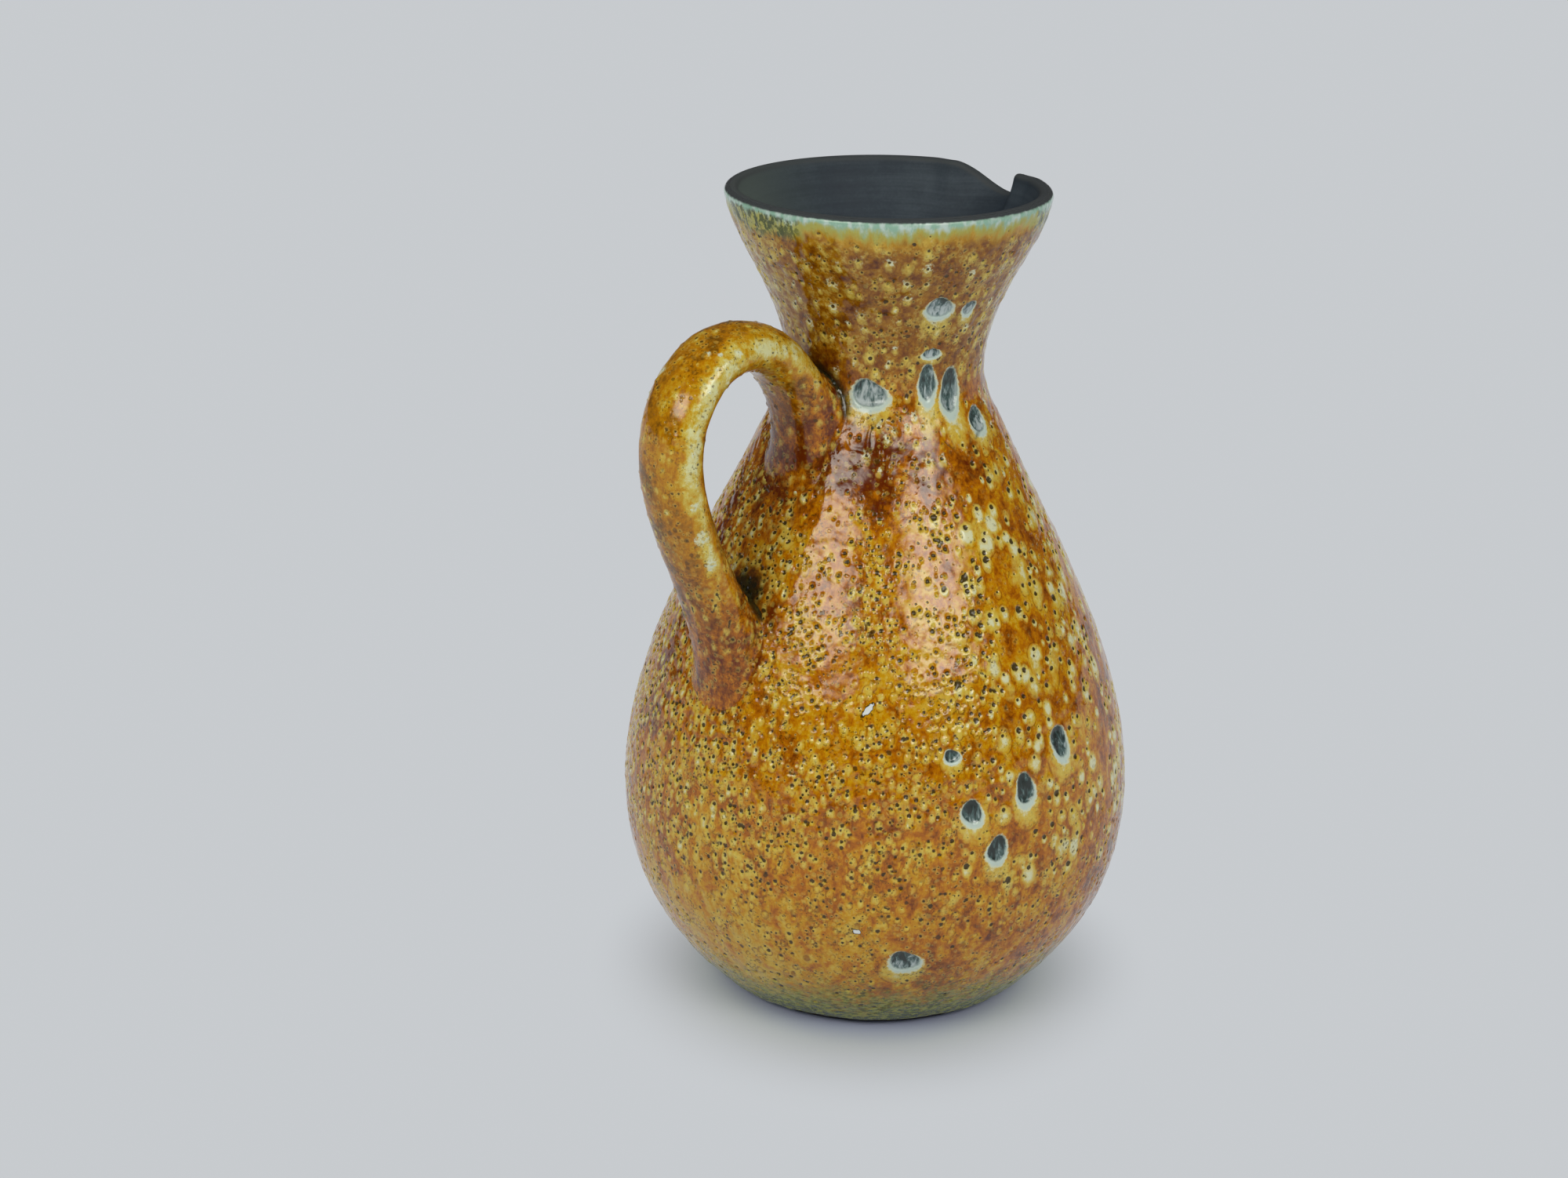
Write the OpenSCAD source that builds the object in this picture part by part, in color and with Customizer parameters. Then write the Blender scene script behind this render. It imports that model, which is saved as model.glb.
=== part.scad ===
// Pear-shaped ceramic jug: a thrown belly, a neck luted on with a pulled lip, a loop handle,
// a dark lining and a thick outer glaze. Sizes are in millimetres.
// The origin is the centre of the foot, +Z is up, the lip points along +X and the handle along -X.

/* [Body profile] */
// Outer radius where the wall meets the table
foot_r = 46.5; // [40:0.5:54]
// Lean of the wall at the foot, from vertical
foot_lean = 50; // [44:1:54]
// Outer radius at the widest part of the belly
belly_r = 78.4; // [72:0.1:84]
// Height of the widest part above the table
belly_rise = 64; // [56:1:74]
// Distance that the top of the shoulder stands out past the waist
shoulder_out = 3.7; // [2.5:0.1:6]
// Height of the shoulder's top above the widest part
shoulder_rise = 120; // [105:1:140]
// Lean of the shoulder at its top, from vertical
shoulder_lean = 26; // [20:1:30]
// Outer radius of the waist
waist_r = 30.3; // [28:0.1:32]
// Height of the waist above the shoulder's top
waist_rise = 13; // [11:0.5:17]
// Distance that the throat, where the funnel runs straight, stands out past the waist
throat_out = 7.3; // [5:0.1:10]
// Height of the throat above the waist
throat_rise = 26; // [22:1:32]
// Lean of the funnel at the throat, from vertical
throat_lean = 27; // [22:1:32]
// Distance that the rim stands out past the throat
rim_out = 11.4; // [8:0.1:15]
// Height of the rim's shoulder above the throat
rim_rise = 25; // [20:1:32]
// Lean of the funnel at the rim, from vertical
rim_lean = 12; // [6:1:24]

/* [Walls and coats] */
// Clay wall at the foot
foot_wall = 5.4; // [4.5:0.1:7]
// Clay wall at the rim
rim_wall = 2.8; // [2.4:0.1:4]
// Clay floor
floor_wall = 7; // [6:0.5:10]
// Radius that rounds the floor into the wall
floor_round = 12; // [6:0.5:18]
// Thickness of the outer glaze
glaze_wall = 1.4; // [1:0.1:2]
// Thickness of the lining
lining_wall = 0.6; // [0.4:0.1:1]
// Height of the bare foot below the glaze
glaze_lift = 1.5; // [1:0.1:3]
// Height of the rounded rim above the end of the glaze
rim_crown = 2.4; // [1.8:0.1:3.5]

/* [Neck joint] */
// Drop from the waist to the joint between belly and neck
seam_drop = 16; // [12:0.5:22]
// Thickness of the joining slip
slip_wall = 0.6; // [0.4:0.1:0.9]

/* [Pouring lip] */
// Half of the angle that the lip takes up in the rim
lip_spread = 18; // [14:1:28]
// Distance that the lip is pulled out
lip_out = 6; // [3:0.5:9]
// Distance that the lip is pulled down
lip_drop = 8; // [4:0.5:11]
// Distance that the rim is pinched in on each side of the lip
lip_pinch = 1.2; // [0:0.1:2]
// Height of the funnel that the pull leaves round, above the waist
lip_clear = 13; // [10:0.5:18]

/* [Handle] */
// Thickness of the clay loop, from inside to outside
handle_thick = 12.6; // [10:0.2:16]
// Width of the clay loop
handle_width = 20.4; // [15:0.2:24]
// Height of the loop's top above the waist
loop_top_rise = 15; // [12:0.5:20]
// Reach of the loop's top from the waist
loop_top_reach = 31.5; // [26:0.5:40]
// Reach of the loop's outermost part from the waist
loop_out_reach = 56.2; // [48:0.1:70]
// Drop from the waist to the loop's outermost part
loop_out_drop = 13; // [8:0.5:20]
// Drop from the waist to the middle of the upper root
upper_root_drop = 12; // [9:0.5:16]
// Height of the upper root
upper_root_high = 28; // [24:0.5:32]
// Width of the upper root
upper_root_wide = 23; // [20:0.5:26]
// Rise of the handle where it leaves the upper root, from level
upper_root_tilt = 70; // [55:1:80]
// Height of the middle of the lower root above the widest part
lower_root_rise = 59; // [50:0.5:68]
// Height of the lower root
lower_root_high = 23.5; // [20:0.5:30]
// Width of the lower root
lower_root_wide = 21.5; // [19:0.5:27]
// Rise of the handle where it leaves the lower root, from level
lower_root_tilt = 54; // [45:1:65]
// Distance that the lower root is smeared down the belly, below the loop's middle line
lower_root_smear = 4; // [0:0.5:6]

/* [Hidden] */

// Colours
clay_colour = [0.33, 0.29, 0.26];
slip_colour = [0.45, 0.40, 0.35];
lining_colour = [0.22, 0.24, 0.25];
glaze_colour = [0.72, 0.46, 0.12];
handle_colour = [0.78, 0.55, 0.20];

// Fineness of the curves
round_steps = 60;
oval_steps = 24;
profile_step = 4.5;
floor_steps = 5;
crown_steps = 4;
loop_steps = 7;
root_steps = 4;
solve_steps = 24;
settle_steps = 6;

// Radii and heights of the profile's stations
shoulder_r = waist_r + shoulder_out;
throat_r = waist_r + throat_out;
rim_r = throat_r + rim_out;
belly_z = belly_rise;
shoulder_z = belly_z + shoulder_rise;
waist_z = shoulder_z + waist_rise;
throat_z = waist_z + throat_rise;
rim_z = throat_z + rim_rise;
seam_z = waist_z - seam_drop;
coat_split_z = waist_z + lip_clear;
upper_root_z = waist_z - upper_root_drop;
lower_root_z = belly_z + lower_root_rise;

// Each station is a radius, a height and the slope of the radius there
stations = [
    [foot_r, 0, tan(foot_lean)],
    [belly_r, belly_z, 0],
    [shoulder_r, shoulder_z, -tan(shoulder_lean)],
    [waist_r, waist_z, 0],
    [throat_r, throat_z, tan(throat_lean)],
    [rim_r, rim_z, tan(rim_lean)]
];

// Outer profile

// Index of the stretch between stations that holds a height
function stretch(z, i = 0) = i + 2 >= len(stations) || z <= stations[i + 1][1] ? i : stretch(z, i + 1);

// Radius on the smooth curve between two stations
function curve_r(a, b, z) =
    let (rise = b[1] - a[1], t = (z - a[1]) / rise, u = 1 - t)
    a[0] * u * u * (1 + 2 * t) + b[0] * t * t * (3 - 2 * t) + rise * t * u * (a[2] * u - b[2] * t);

// Slope of that curve
function curve_slope(a, b, z) =
    let (rise = b[1] - a[1], t = (z - a[1]) / rise, u = 1 - t)
    6 * t * u * (b[0] - a[0]) / rise + a[2] * u * (1 - 3 * t) + b[2] * t * (3 * t - 2);

function outer_r(z) = let (i = stretch(z)) curve_r(stations[i], stations[i + 1], z);
function outer_slope(z) = let (i = stretch(z)) curve_slope(stations[i], stations[i + 1], z);

// Point of the wall that lies a depth below the outer surface, as [radius, height]
function skin(z, depth) =
    let (slope = outer_slope(z), across = 1 / sqrt(1 + slope * slope))
    [outer_r(z) - depth * across, z + depth * slope * across];

// Height on the outer profile whose point at that depth lies at height z
function outer_z(z, depth, left = settle_steps) =
    left == 0 ? z : let (guess = outer_z(z, depth, left - 1)) z - skin(guess, depth)[1] + guess;

// Radius of the surface at that depth, at height z
function skin_r(z, depth) = skin(outer_z(z, depth), depth)[0];

// Depths of the clay's inner face and of the lining's inner face
function clay_depth(z) = glaze_wall + foot_wall + (rim_wall - foot_wall) * z / rim_z;
function lining_depth(z) = clay_depth(z) + lining_wall;

// Evenly spread heights from low to high
function heights(low, high) =
    let (count = ceil((high - low) / profile_step))
    [for (i = [0 : count]) low + (high - low) * i / count];

// Heights where a piece begins or ends, so that pieces that touch have the same corners there
breaks = [glaze_lift, seam_z, seam_z + slip_wall, coat_split_z];

// Heights up the wall from low to high, spread evenly between the breaks
function levels(low, high) =
    let (ends = concat([low], [for (z = breaks) if (z > low && z < high) z], [high]))
    concat(
        [low],
        [for (i = [1 : len(ends) - 1])
            let (run = heights(ends[i - 1], ends[i]))
            for (k = [1 : len(run) - 1]) run[k]]
    );

function backwards(list) = [for (i = [len(list) - 1 : -1 : 0]) list[i]];
function bent(a, b, c, t) = a * (1 - t) * (1 - t) + b * 2 * t * (1 - t) + c * t * t;

// Inner profile

// Inner face of the wall, with or without its lining
function inner(z, lined) = skin(z, lined ? lining_depth(z) : clay_depth(z));

// Height on the outer profile where the inner face reaches a level
function inner_z(level, lined, low = 0, high = belly_z, left = solve_steps) =
    let (middle = (low + high) / 2)
    left == 0 ? middle
    : inner(middle, lined)[1] > level ? inner_z(level, lined, low, middle, left - 1)
    : inner_z(level, lined, middle, high, left - 1);

// Inside of the pot from the axis, over the rounded floor corner and up to a height
function inside(top, lined) =
    let (
        level = floor_wall + (lined ? lining_wall : 0),
        start_z = inner_z(level + floor_round, lined),
        corner = inner(inner_z(level, lined), lined),
        floor_end = [corner[0] - floor_round, level],
        wall_end = inner(start_z, lined)
    )
    concat(
        [[0, level]],
        [for (i = [0 : floor_steps - 1]) bent(floor_end, corner, wall_end, i / floor_steps)],
        [for (z = levels(start_z, top)) inner(z, lined)]
    );

// Rounded rim between two depths, from the outside to the inside
function crown(from, to, high) =
    let (
        out_end = skin(rim_z, from),
        in_end = skin(rim_z, to),
        middle = (out_end + in_end) / 2,
        half = (in_end - out_end) / 2,
        along = [sin(rim_lean), cos(rim_lean)]
    )
    [for (i = [1 : crown_steps - 1])
        let (turn = 180 * i / crown_steps)
        middle - half * cos(turn) + along * high * sin(turn)];

// Points up the wall at a depth, and up its inner face, from a height to the rim
function skin_run(low, depth) = [for (z = levels(low, rim_z)) skin(z, depth)];
function inner_run(low, lined) = [for (z = levels(low, rim_z)) inner(z, lined)];

// Pouring lip

// How far a height shares in the pull, from none at the split of the coats to all at the rim
function pull(z) = z <= coat_split_z ? 0 : pow((z - coat_split_z) / (rim_z - coat_split_z), 2);

// Round hump of height 1 that spans one width each side of its middle
function hump(offset, width) = abs(offset) >= width ? 0 : pow(cos(90 * offset / width), 2);

// Point at an angle round the axis, moved by the pulled lip
function poured(point, angle) =
    let (
        turn = angle > 180 ? angle - 360 : angle,
        share = pull(point[1]),
        out = lip_out * hump(turn, lip_spread) - lip_pinch * hump(abs(turn) - lip_spread, lip_spread / 2),
        radius = point[0] + share * out
    )
    [radius * cos(angle), radius * sin(angle), point[1] - share * lip_drop * hump(turn, lip_spread)];

// Solids made of rings of points

// Triangles between two rings of the same count, by the number of each ring's first point
function band(first, second, count) = [
    for (i = [0 : count - 1])
    let (j = (i + 1) % count)
    each [[first + i, first + j, second + j], [first + i, second + j, second + i]]
];

// Solid that closes on itself: the last ring joins the first
module ring_loop(rings) {
    count = len(rings[0]);
    total = len(rings);
    polyhedron(
        points = [for (ring = rings) each ring],
        faces = [for (k = [0 : total - 1]) each band(k * count, ((k + 1) % total) * count, count)]
    );
}

// Solid with a middle point at each end
module capped_tube(start, rings, end) {
    count = len(rings[0]);
    total = len(rings);
    last = (total - 1) * count;
    start_at = total * count;
    end_at = start_at + 1;
    polyhedron(
        points = [for (ring = rings) each ring, start, end],
        faces = [
            for (k = [0 : total - 2]) each band(k * count, (k + 1) * count, count),
            for (i = [0 : count - 1]) [start_at, (i + 1) % count, i],
            for (i = [0 : count - 1]) [end_at, last + i, last + (i + 1) % count]
        ]
    );
}

// Angles round the axis, closer together at the lip than at the back
lip_crowding = 0.4;
function round_angle(i) =
    let (even = 360 * i / round_steps)
    even - lip_crowding * sin(even) * 180 / PI;

// Closed outline of [radius, height] points taken round the axis, with the lip pulled out of it
module thrown(outline) {
    ring_loop([
        for (point = outline)
        [for (i = [0 : round_steps - 1]) poured(point, round_angle(i))]
    ]);
}

// Handle

// Middle line of the loop as [reach, height]: three curves joined smoothly
function along(tilt) = [cos(tilt), sin(tilt)];
function cubic(p, t) =
    let (u = 1 - t)
    p[0] * u * u * u + p[1] * 3 * u * u * t + p[2] * 3 * u * t * t + p[3] * t * t * t;
function cubic_way(p, t) =
    let (u = 1 - t, way = (p[1] - p[0]) * u * u + (p[2] - p[1]) * 2 * u * t + (p[3] - p[2]) * t * t)
    way / norm(way);

// Curve that leaves a in one direction and arrives at b in another
function sweep_curve(a, way_a, b, way_b, fullness) =
    let (pull_length = fullness * norm(b - a))
    [a, a + way_a * pull_length, b - way_b * pull_length, b];

// Fullness of the two curves over the loop's top, near a quarter circle each, and of the leg below
round_fullness = 0.39;
leg_fullness = 0.29;
upper_root = skin(upper_root_z, 0);
lower_root = skin(lower_root_z + lower_root_smear, 0);
loop_top = [waist_r + loop_top_reach, waist_z + loop_top_rise];
loop_out = [waist_r + loop_out_reach, waist_z - loop_out_drop];
loop_curves = [
    sweep_curve(upper_root, along(upper_root_tilt), loop_top, [1, 0], round_fullness),
    sweep_curve(loop_top, [1, 0], loop_out, [0, -1], round_fullness),
    sweep_curve(loop_out, [0, -1], lower_root, -along(lower_root_tilt), leg_fullness)
];

// Share of the first and last curve that the flared roots take up
root_share = 0.45;

// Places on the middle line where the loop keeps its full section, as [curve, share]
loop_places = concat(
    [for (i = [0 : loop_steps - 1]) [0, root_share + (1 - root_share) * i / loop_steps]],
    [for (i = [0 : loop_steps - 1]) [1, i / loop_steps]],
    [for (i = [0 : loop_steps]) [2, (1 - root_share) * i / loop_steps]]
);

// Ring of the loop's oval section, grown by a coat
function section(place, coat) =
    let (
        curve = loop_curves[place[0]],
        middle = cubic(curve, place[1]),
        way = cubic_way(curve, place[1]),
        out = [-way[1], way[0]]
    )
    [for (i = [0 : oval_steps - 1])
        let (
            turn = 360 * i / oval_steps,
            spot = middle + out * (handle_thick / 2 + coat) * cos(turn)
        )
        [-spot[0], (handle_width / 2 + coat) * sin(turn), spot[1]]];

// Each root is the height of its middle, its height, its width and the end of the oval that the loop's
// inner side meets: 1 for the top and -1 for the bottom
upper_oval = [upper_root_z, upper_root_high, upper_root_wide, 1];
lower_oval = [lower_root_z, lower_root_high, lower_root_wide, -1];

// Point of a root's oval, grown by a coat, as [height, sideways]
function oval_spot(oval, coat, turn) = [
    oval[0] + oval[3] * (oval[1] / 2 + coat) * cos(turn),
    (oval[2] / 2 + coat) * sin(turn)
];

// The oval on the body's surface at a depth, level with its outline from the handle's side
function root_ring(oval, coat, depth) = [
    for (i = [0 : oval_steps - 1])
    let (spot = oval_spot(oval, coat, 360 * i / oval_steps), r = skin_r(spot[0], depth))
    [-sqrt(r * r - spot[1] * spot[1]), spot[1], spot[0]]
];

// Half-size oval and middle point, which carry the surface's curve under the root
function half_ring(oval, depth) = root_ring([oval[0], oval[1] / 2, oval[2] / 2, oval[3]], 0, depth);
function root_middle(oval, depth) = [-skin_r(oval[0], depth), 0, oval[0]];

// Rings that flare from a section of the loop to a root
root_reach = 0.6;
function flare(root, ring, way) = [
    for (k = [0 : root_steps - 1])
    [for (i = [0 : oval_steps - 1])
        let (
            reach = root_reach * norm(ring[i] - root[i]),
            corner = ring[i] + [-way[0], 0, way[1]] * reach
        )
        bent(root[i], corner, ring[i], k / root_steps)]
];

// All rings of the handle's skin from the upper root to the lower one
function handle_rings(coat, depth) =
    let (
        first = loop_places[0],
        last = loop_places[len(loop_places) - 1],
        upper_way = -cubic_way(loop_curves[0], first[1]),
        lower_way = cubic_way(loop_curves[2], last[1]),
        upper = root_ring(upper_oval, coat, depth),
        lower = root_ring(lower_oval, coat, depth)
    )
    concat(
        flare(upper, section(first, coat), upper_way),
        [for (place = loop_places) section(place, coat)],
        backwards(flare(lower, section(last, coat), lower_way))
    );

// Depths of the joining slip under the handle, whose flat facets stay a little off the round clay
slip_seat = 0.2;
slip_top = glaze_wall - slip_wall;
slip_bottom = glaze_wall - slip_seat;

// Oval pad of slip that follows the body's surface from one depth to another
module root_slip(oval, from, to) {
    capped_tube(
        root_middle(oval, from),
        [half_ring(oval, from), root_ring(oval, 0, from), root_ring(oval, 0, to), half_ring(oval, to)],
        root_middle(oval, to)
    );
}

// Window in the body's glaze where the handle is joined
module root_window(oval) {
    outline = [for (i = [0 : oval_steps - 1]) oval_spot(oval, glaze_wall, 360 * i / oval_steps)];
    rotate([0, -90, 0])
        linear_extrude(belly_r + glaze_wall)
            polygon(outline);
}

// Clay

module belly() {
    foot_edge = [foot_r - glaze_wall / cos(foot_lean), 0];
    color(clay_colour)
        rotate_extrude($fn = round_steps)
            polygon(concat(
                [[0, 0], foot_edge],
                [for (z = levels(0, seam_z)) skin(z, glaze_wall)],
                backwards(inside(seam_z, false))
            ));
}

module neck() {
    low = seam_z + slip_wall;
    color(clay_colour)
        thrown(concat(
            skin_run(low, glaze_wall),
            crown(glaze_wall, clay_depth(rim_z), rim_crown - lining_wall),
            backwards(inner_run(low, false))
        ));
}

module neck_slip() {
    color(slip_colour)
        rotate_extrude($fn = round_steps)
            polygon([
                skin(seam_z, glaze_wall),
                skin(seam_z + slip_wall, glaze_wall),
                inner(seam_z + slip_wall, false),
                inner(seam_z, false)
            ]);
}

module handle() {
    color(clay_colour)
        capped_tube(
            root_middle(upper_oval, slip_top),
            concat(
                [half_ring(upper_oval, slip_top)],
                handle_rings(0, slip_top),
                [half_ring(lower_oval, slip_top)]
            ),
            root_middle(lower_oval, slip_top)
        );
}

module handle_upper_slip() {
    color(slip_colour)
        root_slip(upper_oval, slip_top, slip_bottom);
}

module handle_lower_slip() {
    color(slip_colour)
        root_slip(lower_oval, slip_bottom, slip_top);
}

// Coats

module belly_lining() {
    color(lining_colour)
        rotate_extrude($fn = round_steps)
            polygon(concat(inside(coat_split_z, false), backwards(inside(coat_split_z, true))));
}

module neck_lining() {
    color(lining_colour)
        thrown(concat(
            inner_run(coat_split_z, false),
            backwards(crown(glaze_wall, clay_depth(rim_z), rim_crown - lining_wall)),
            [skin(rim_z, glaze_wall), skin(rim_z, 0)],
            crown(0, lining_depth(rim_z), rim_crown),
            backwards(inner_run(coat_split_z, true))
        ));
}

module belly_glaze() {
    color(glaze_colour)
        difference() {
            rotate_extrude($fn = round_steps)
                polygon(concat(
                    [for (z = levels(glaze_lift, coat_split_z)) skin(z, 0)],
                    backwards([for (z = levels(glaze_lift, coat_split_z)) skin(z, glaze_wall)])
                ));
            root_window(upper_oval);
            root_window(lower_oval);
        }
}

module neck_glaze() {
    color(glaze_colour)
        thrown(concat(skin_run(coat_split_z, 0), backwards(skin_run(coat_split_z, glaze_wall))));
}

module handle_glaze() {
    color(handle_colour)
        ring_loop(concat(
            [root_ring(upper_oval, glaze_wall, glaze_wall)],
            handle_rings(glaze_wall, 0),
            [root_ring(lower_oval, glaze_wall, glaze_wall), root_ring(lower_oval, 0, glaze_wall)],
            backwards(handle_rings(0, slip_top)),
            [root_ring(upper_oval, 0, glaze_wall)]
        ));
}

belly();
neck();
neck_slip();
handle();
handle_upper_slip();
handle_lower_slip();
belly_lining();
neck_lining();
belly_glaze();
neck_glaze();
handle_glaze();
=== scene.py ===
"""Looks of the pear-shaped glazed jug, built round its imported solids.

Sizes are in millimetres until a mesh is made.
"""

import math

import bpy
import numpy as np
from mathutils import Matrix, Vector


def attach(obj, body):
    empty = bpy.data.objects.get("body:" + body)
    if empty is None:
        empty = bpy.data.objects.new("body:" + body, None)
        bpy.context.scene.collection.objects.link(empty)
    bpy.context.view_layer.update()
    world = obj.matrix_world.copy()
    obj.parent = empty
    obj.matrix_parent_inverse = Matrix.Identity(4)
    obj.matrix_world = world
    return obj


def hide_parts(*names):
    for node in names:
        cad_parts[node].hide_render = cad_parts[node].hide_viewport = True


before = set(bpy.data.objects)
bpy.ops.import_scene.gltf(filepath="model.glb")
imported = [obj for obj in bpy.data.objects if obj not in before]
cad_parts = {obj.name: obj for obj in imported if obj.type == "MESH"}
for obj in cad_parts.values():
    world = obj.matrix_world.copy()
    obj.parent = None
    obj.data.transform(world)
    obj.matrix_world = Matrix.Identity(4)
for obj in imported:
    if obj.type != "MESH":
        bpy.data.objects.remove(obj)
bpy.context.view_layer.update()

MM = 0.001
SEED = 11
random = np.random.default_rng(SEED)

# Body profile, as in the part's source: radius, height and lean from vertical in degrees
STATIONS = np.array([
    (46.5, 0.0, 50.0),
    (78.4, 64.0, 0.0),
    (34.0, 184.0, -26.0),
    (30.3, 197.0, 0.0),
    (37.6, 223.0, 27.0),
    (49.0, 248.0, 12.0),
])
RADII = STATIONS[:, 0]
LEVELS = STATIONS[:, 1]
SLOPES = np.tan(np.radians(STATIONS[:, 2]))
WAIST_R = RADII[3]
WAIST_Z = LEVELS[3]
RIM_Z = LEVELS[5]
RIM_LEAN = math.radians(STATIONS[5, 2])
PROFILE_STEPS = 4000

# Walls and coats
FOOT_WALL = 5.4
RIM_WALL = 2.8
FLOOR_WALL = 7.0
FLOOR_ROUND = 12.0
GLAZE_WALL = 1.4
LINING_WALL = 0.6
GLAZE_LIFT = 1.5
RIM_CROWN = 2.4

# Pouring lip
LIP_SPREAD = math.radians(18)
LIP_OUT = 6.0
LIP_DROP = 8.0
LIP_PINCH = 1.2
LIP_START_Z = WAIST_Z + 13

# Handle
HANDLE_THICK = 12.6
HANDLE_WIDTH = 20.4
LOOP_TOP = np.array([WAIST_R + 31.5, WAIST_Z + 15])
LOOP_OUT = np.array([WAIST_R + 56.2, WAIST_Z - 13])
UPPER_TILT = math.radians(70)
LOWER_TILT = math.radians(54)
LOWER_SMEAR = 4.0
ROUND_FULLNESS = 0.39
LEG_FULLNESS = 0.29
ROOT_SHARE = 0.45
ROOT_REACH = 0.6

# Handle roots: height of the middle, height, width, and the end of the oval that the loop's inner side meets
UPPER_OVAL = (WAIST_Z - 12, 28.0, 23.0, 1)
LOWER_OVAL = (LEVELS[1] + 59, 23.5, 21.5, -1)

# The visual coats stay this far inside the solids' outer faces, so that lumps have room to rise
COAT_SINK = 0.42
LEAST_SINK = 0.12
MOST_SINK = 1.1
COAT_BACK = 1.38


def outer(z):
    """Radius and slope of the body's outer profile."""
    z = np.asarray(z, float)
    low = np.clip(np.searchsorted(LEVELS, z) - 1, 0, len(LEVELS) - 2)
    start, end = RADII[low], RADII[low + 1]
    slope_start, slope_end = SLOPES[low], SLOPES[low + 1]
    rise = LEVELS[low + 1] - LEVELS[low]
    t = (z - LEVELS[low]) / rise
    u = 1 - t
    radius = start * u * u * (1 + 2 * t) + end * t * t * (3 - 2 * t)
    radius = radius + rise * t * u * (slope_start * u - slope_end * t)
    slope = 6 * t * u * (end - start) / rise + slope_start * u * (1 - 3 * t) + slope_end * t * (3 * t - 2)
    return radius, slope


def skin(z, depth):
    """Radius and height of the wall's point at a depth below the outer surface."""
    radius, slope = outer(z)
    across = 1 / np.sqrt(1 + slope * slope)
    return radius - depth * across, z + depth * slope * across


def clay_depth(z):
    return GLAZE_WALL + FOOT_WALL + (RIM_WALL - FOOT_WALL) * z / RIM_Z


def hump(offset, width):
    """Round hump of height 1 that spans one width each side of its middle."""
    return np.where(np.abs(offset) >= width, 0, np.cos(math.pi / 2 * offset / width) ** 2)


def poured(radius, z, angle):
    """Points round the axis, moved by the pulled lip."""
    turn = (angle + math.pi) % (2 * math.pi) - math.pi
    share = np.clip((z - LIP_START_Z) / (RIM_Z - LIP_START_Z), 0, None) ** 2
    pulled = hump(turn, LIP_SPREAD)
    pinched = hump(np.abs(turn) - LIP_SPREAD, LIP_SPREAD / 2)
    radius = radius + share * (LIP_OUT * pulled - LIP_PINCH * pinched)
    z = z - share * LIP_DROP * pulled
    return np.stack([radius * np.cos(angle), radius * np.sin(angle), z + 0 * angle], -1)


def ring_angles(count):
    """Even angles round a full turn."""
    return np.arange(count) * 2 * math.pi / count


def even_heights(low, high, step):
    """Heights from low to high at even steps along the outer profile."""
    fine = np.linspace(low, high, PROFILE_STEPS)
    radius = outer(fine)[0]
    length = np.concatenate([[0], np.cumsum(np.hypot(np.diff(radius), np.diff(fine)))])
    count = int(length[-1] / step) + 1
    return np.interp(np.linspace(0, length[-1], count), length, fine)


def smooth(value, zero, one):
    """Smooth step from 0 at one value to 1 at another, which may be the lower of the two."""
    t = np.clip((value - zero) / (one - zero), 0, 1)
    return t * t * (3 - 2 * t)


def band(value, low, full, still, high):
    """1 from full to still, falling smoothly to 0 at low and high."""
    return smooth(value, low, full) * smooth(value, high, still)


def bell(offset, width):
    """Bell curve of height 1."""
    return np.exp(-((offset / width) ** 2))


def angle_off(angle, middle):
    """Signed difference of angles in degrees."""
    return (angle - middle + 180) % 360 - 180


def lobe(turn, middle, width):
    """Bell curve round an angle in degrees."""
    return bell(angle_off(turn, middle), width)


def turn_of(points):
    """Angle of points round the axis in degrees, from 0 to 360."""
    return np.degrees(np.arctan2(points[..., 1], points[..., 0])) % 360


NOISE_COUNT = 4096
NOISE_TABLE = random.random(NOISE_COUNT)
NOISE_KEYS = np.array([73, 179, 1283])


def lattice_noise(points, size, shift, upright=1.0):
    """Smooth noise from 0 to 1 in lumps of one size, taller ones where upright is below 1."""
    places = points * np.array([1, 1, upright]) / size + shift
    cell = np.floor(places).astype(int)
    share = places - cell
    share = share * share * (3 - 2 * share)
    total = np.zeros(points.shape[:-1])
    for corner in np.ndindex(2, 2, 2):
        weight = np.prod(np.where(corner, share, 1 - share), axis=-1)
        total += weight * NOISE_TABLE[(cell + corner) @ NOISE_KEYS % NOISE_COUNT]
    return total


# Meshes

# Shares of the unwrapped rectangle where the shown face ends and the hidden back starts
SHOWN_END = 0.95
HIDDEN_START = 0.955


def ring_faces(ring_count, columns):
    """Quads between neighbouring rings of points, and between the last ring and the first."""
    rings = np.arange(ring_count)[:, None]
    here = np.arange(columns)[None, :]
    right = (here + 1) % columns
    above = (rings + 1) % ring_count
    quads = [rings * columns + here, rings * columns + right, above * columns + right, above * columns + here]
    return np.stack(quads, -1).reshape(-1, 4)


def add_piece(name, points, faces):
    """New smooth object from points in millimetres."""
    mesh = bpy.data.meshes.new(name)
    mesh.from_pydata((points * MM).tolist(), [], faces)
    mesh.shade_smooth()
    piece = bpy.data.objects.new(name, mesh)
    bpy.context.scene.collection.objects.link(piece)
    return piece


def add_fields(piece, name, fields):
    """Stores three fields of the shown rings at a piece's points, for the material to read."""
    layer = piece.data.attributes.new(name, "FLOAT_VECTOR", "POINT")
    ring_count = len(piece.data.vertices) // fields[0].shape[1]
    padded = [np.pad(field, ((0, ring_count - len(field)), (0, 0)), "edge") for field in fields]
    layer.data.foreach_set("vector", np.stack(padded, -1).astype(np.float32).ravel())


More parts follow.
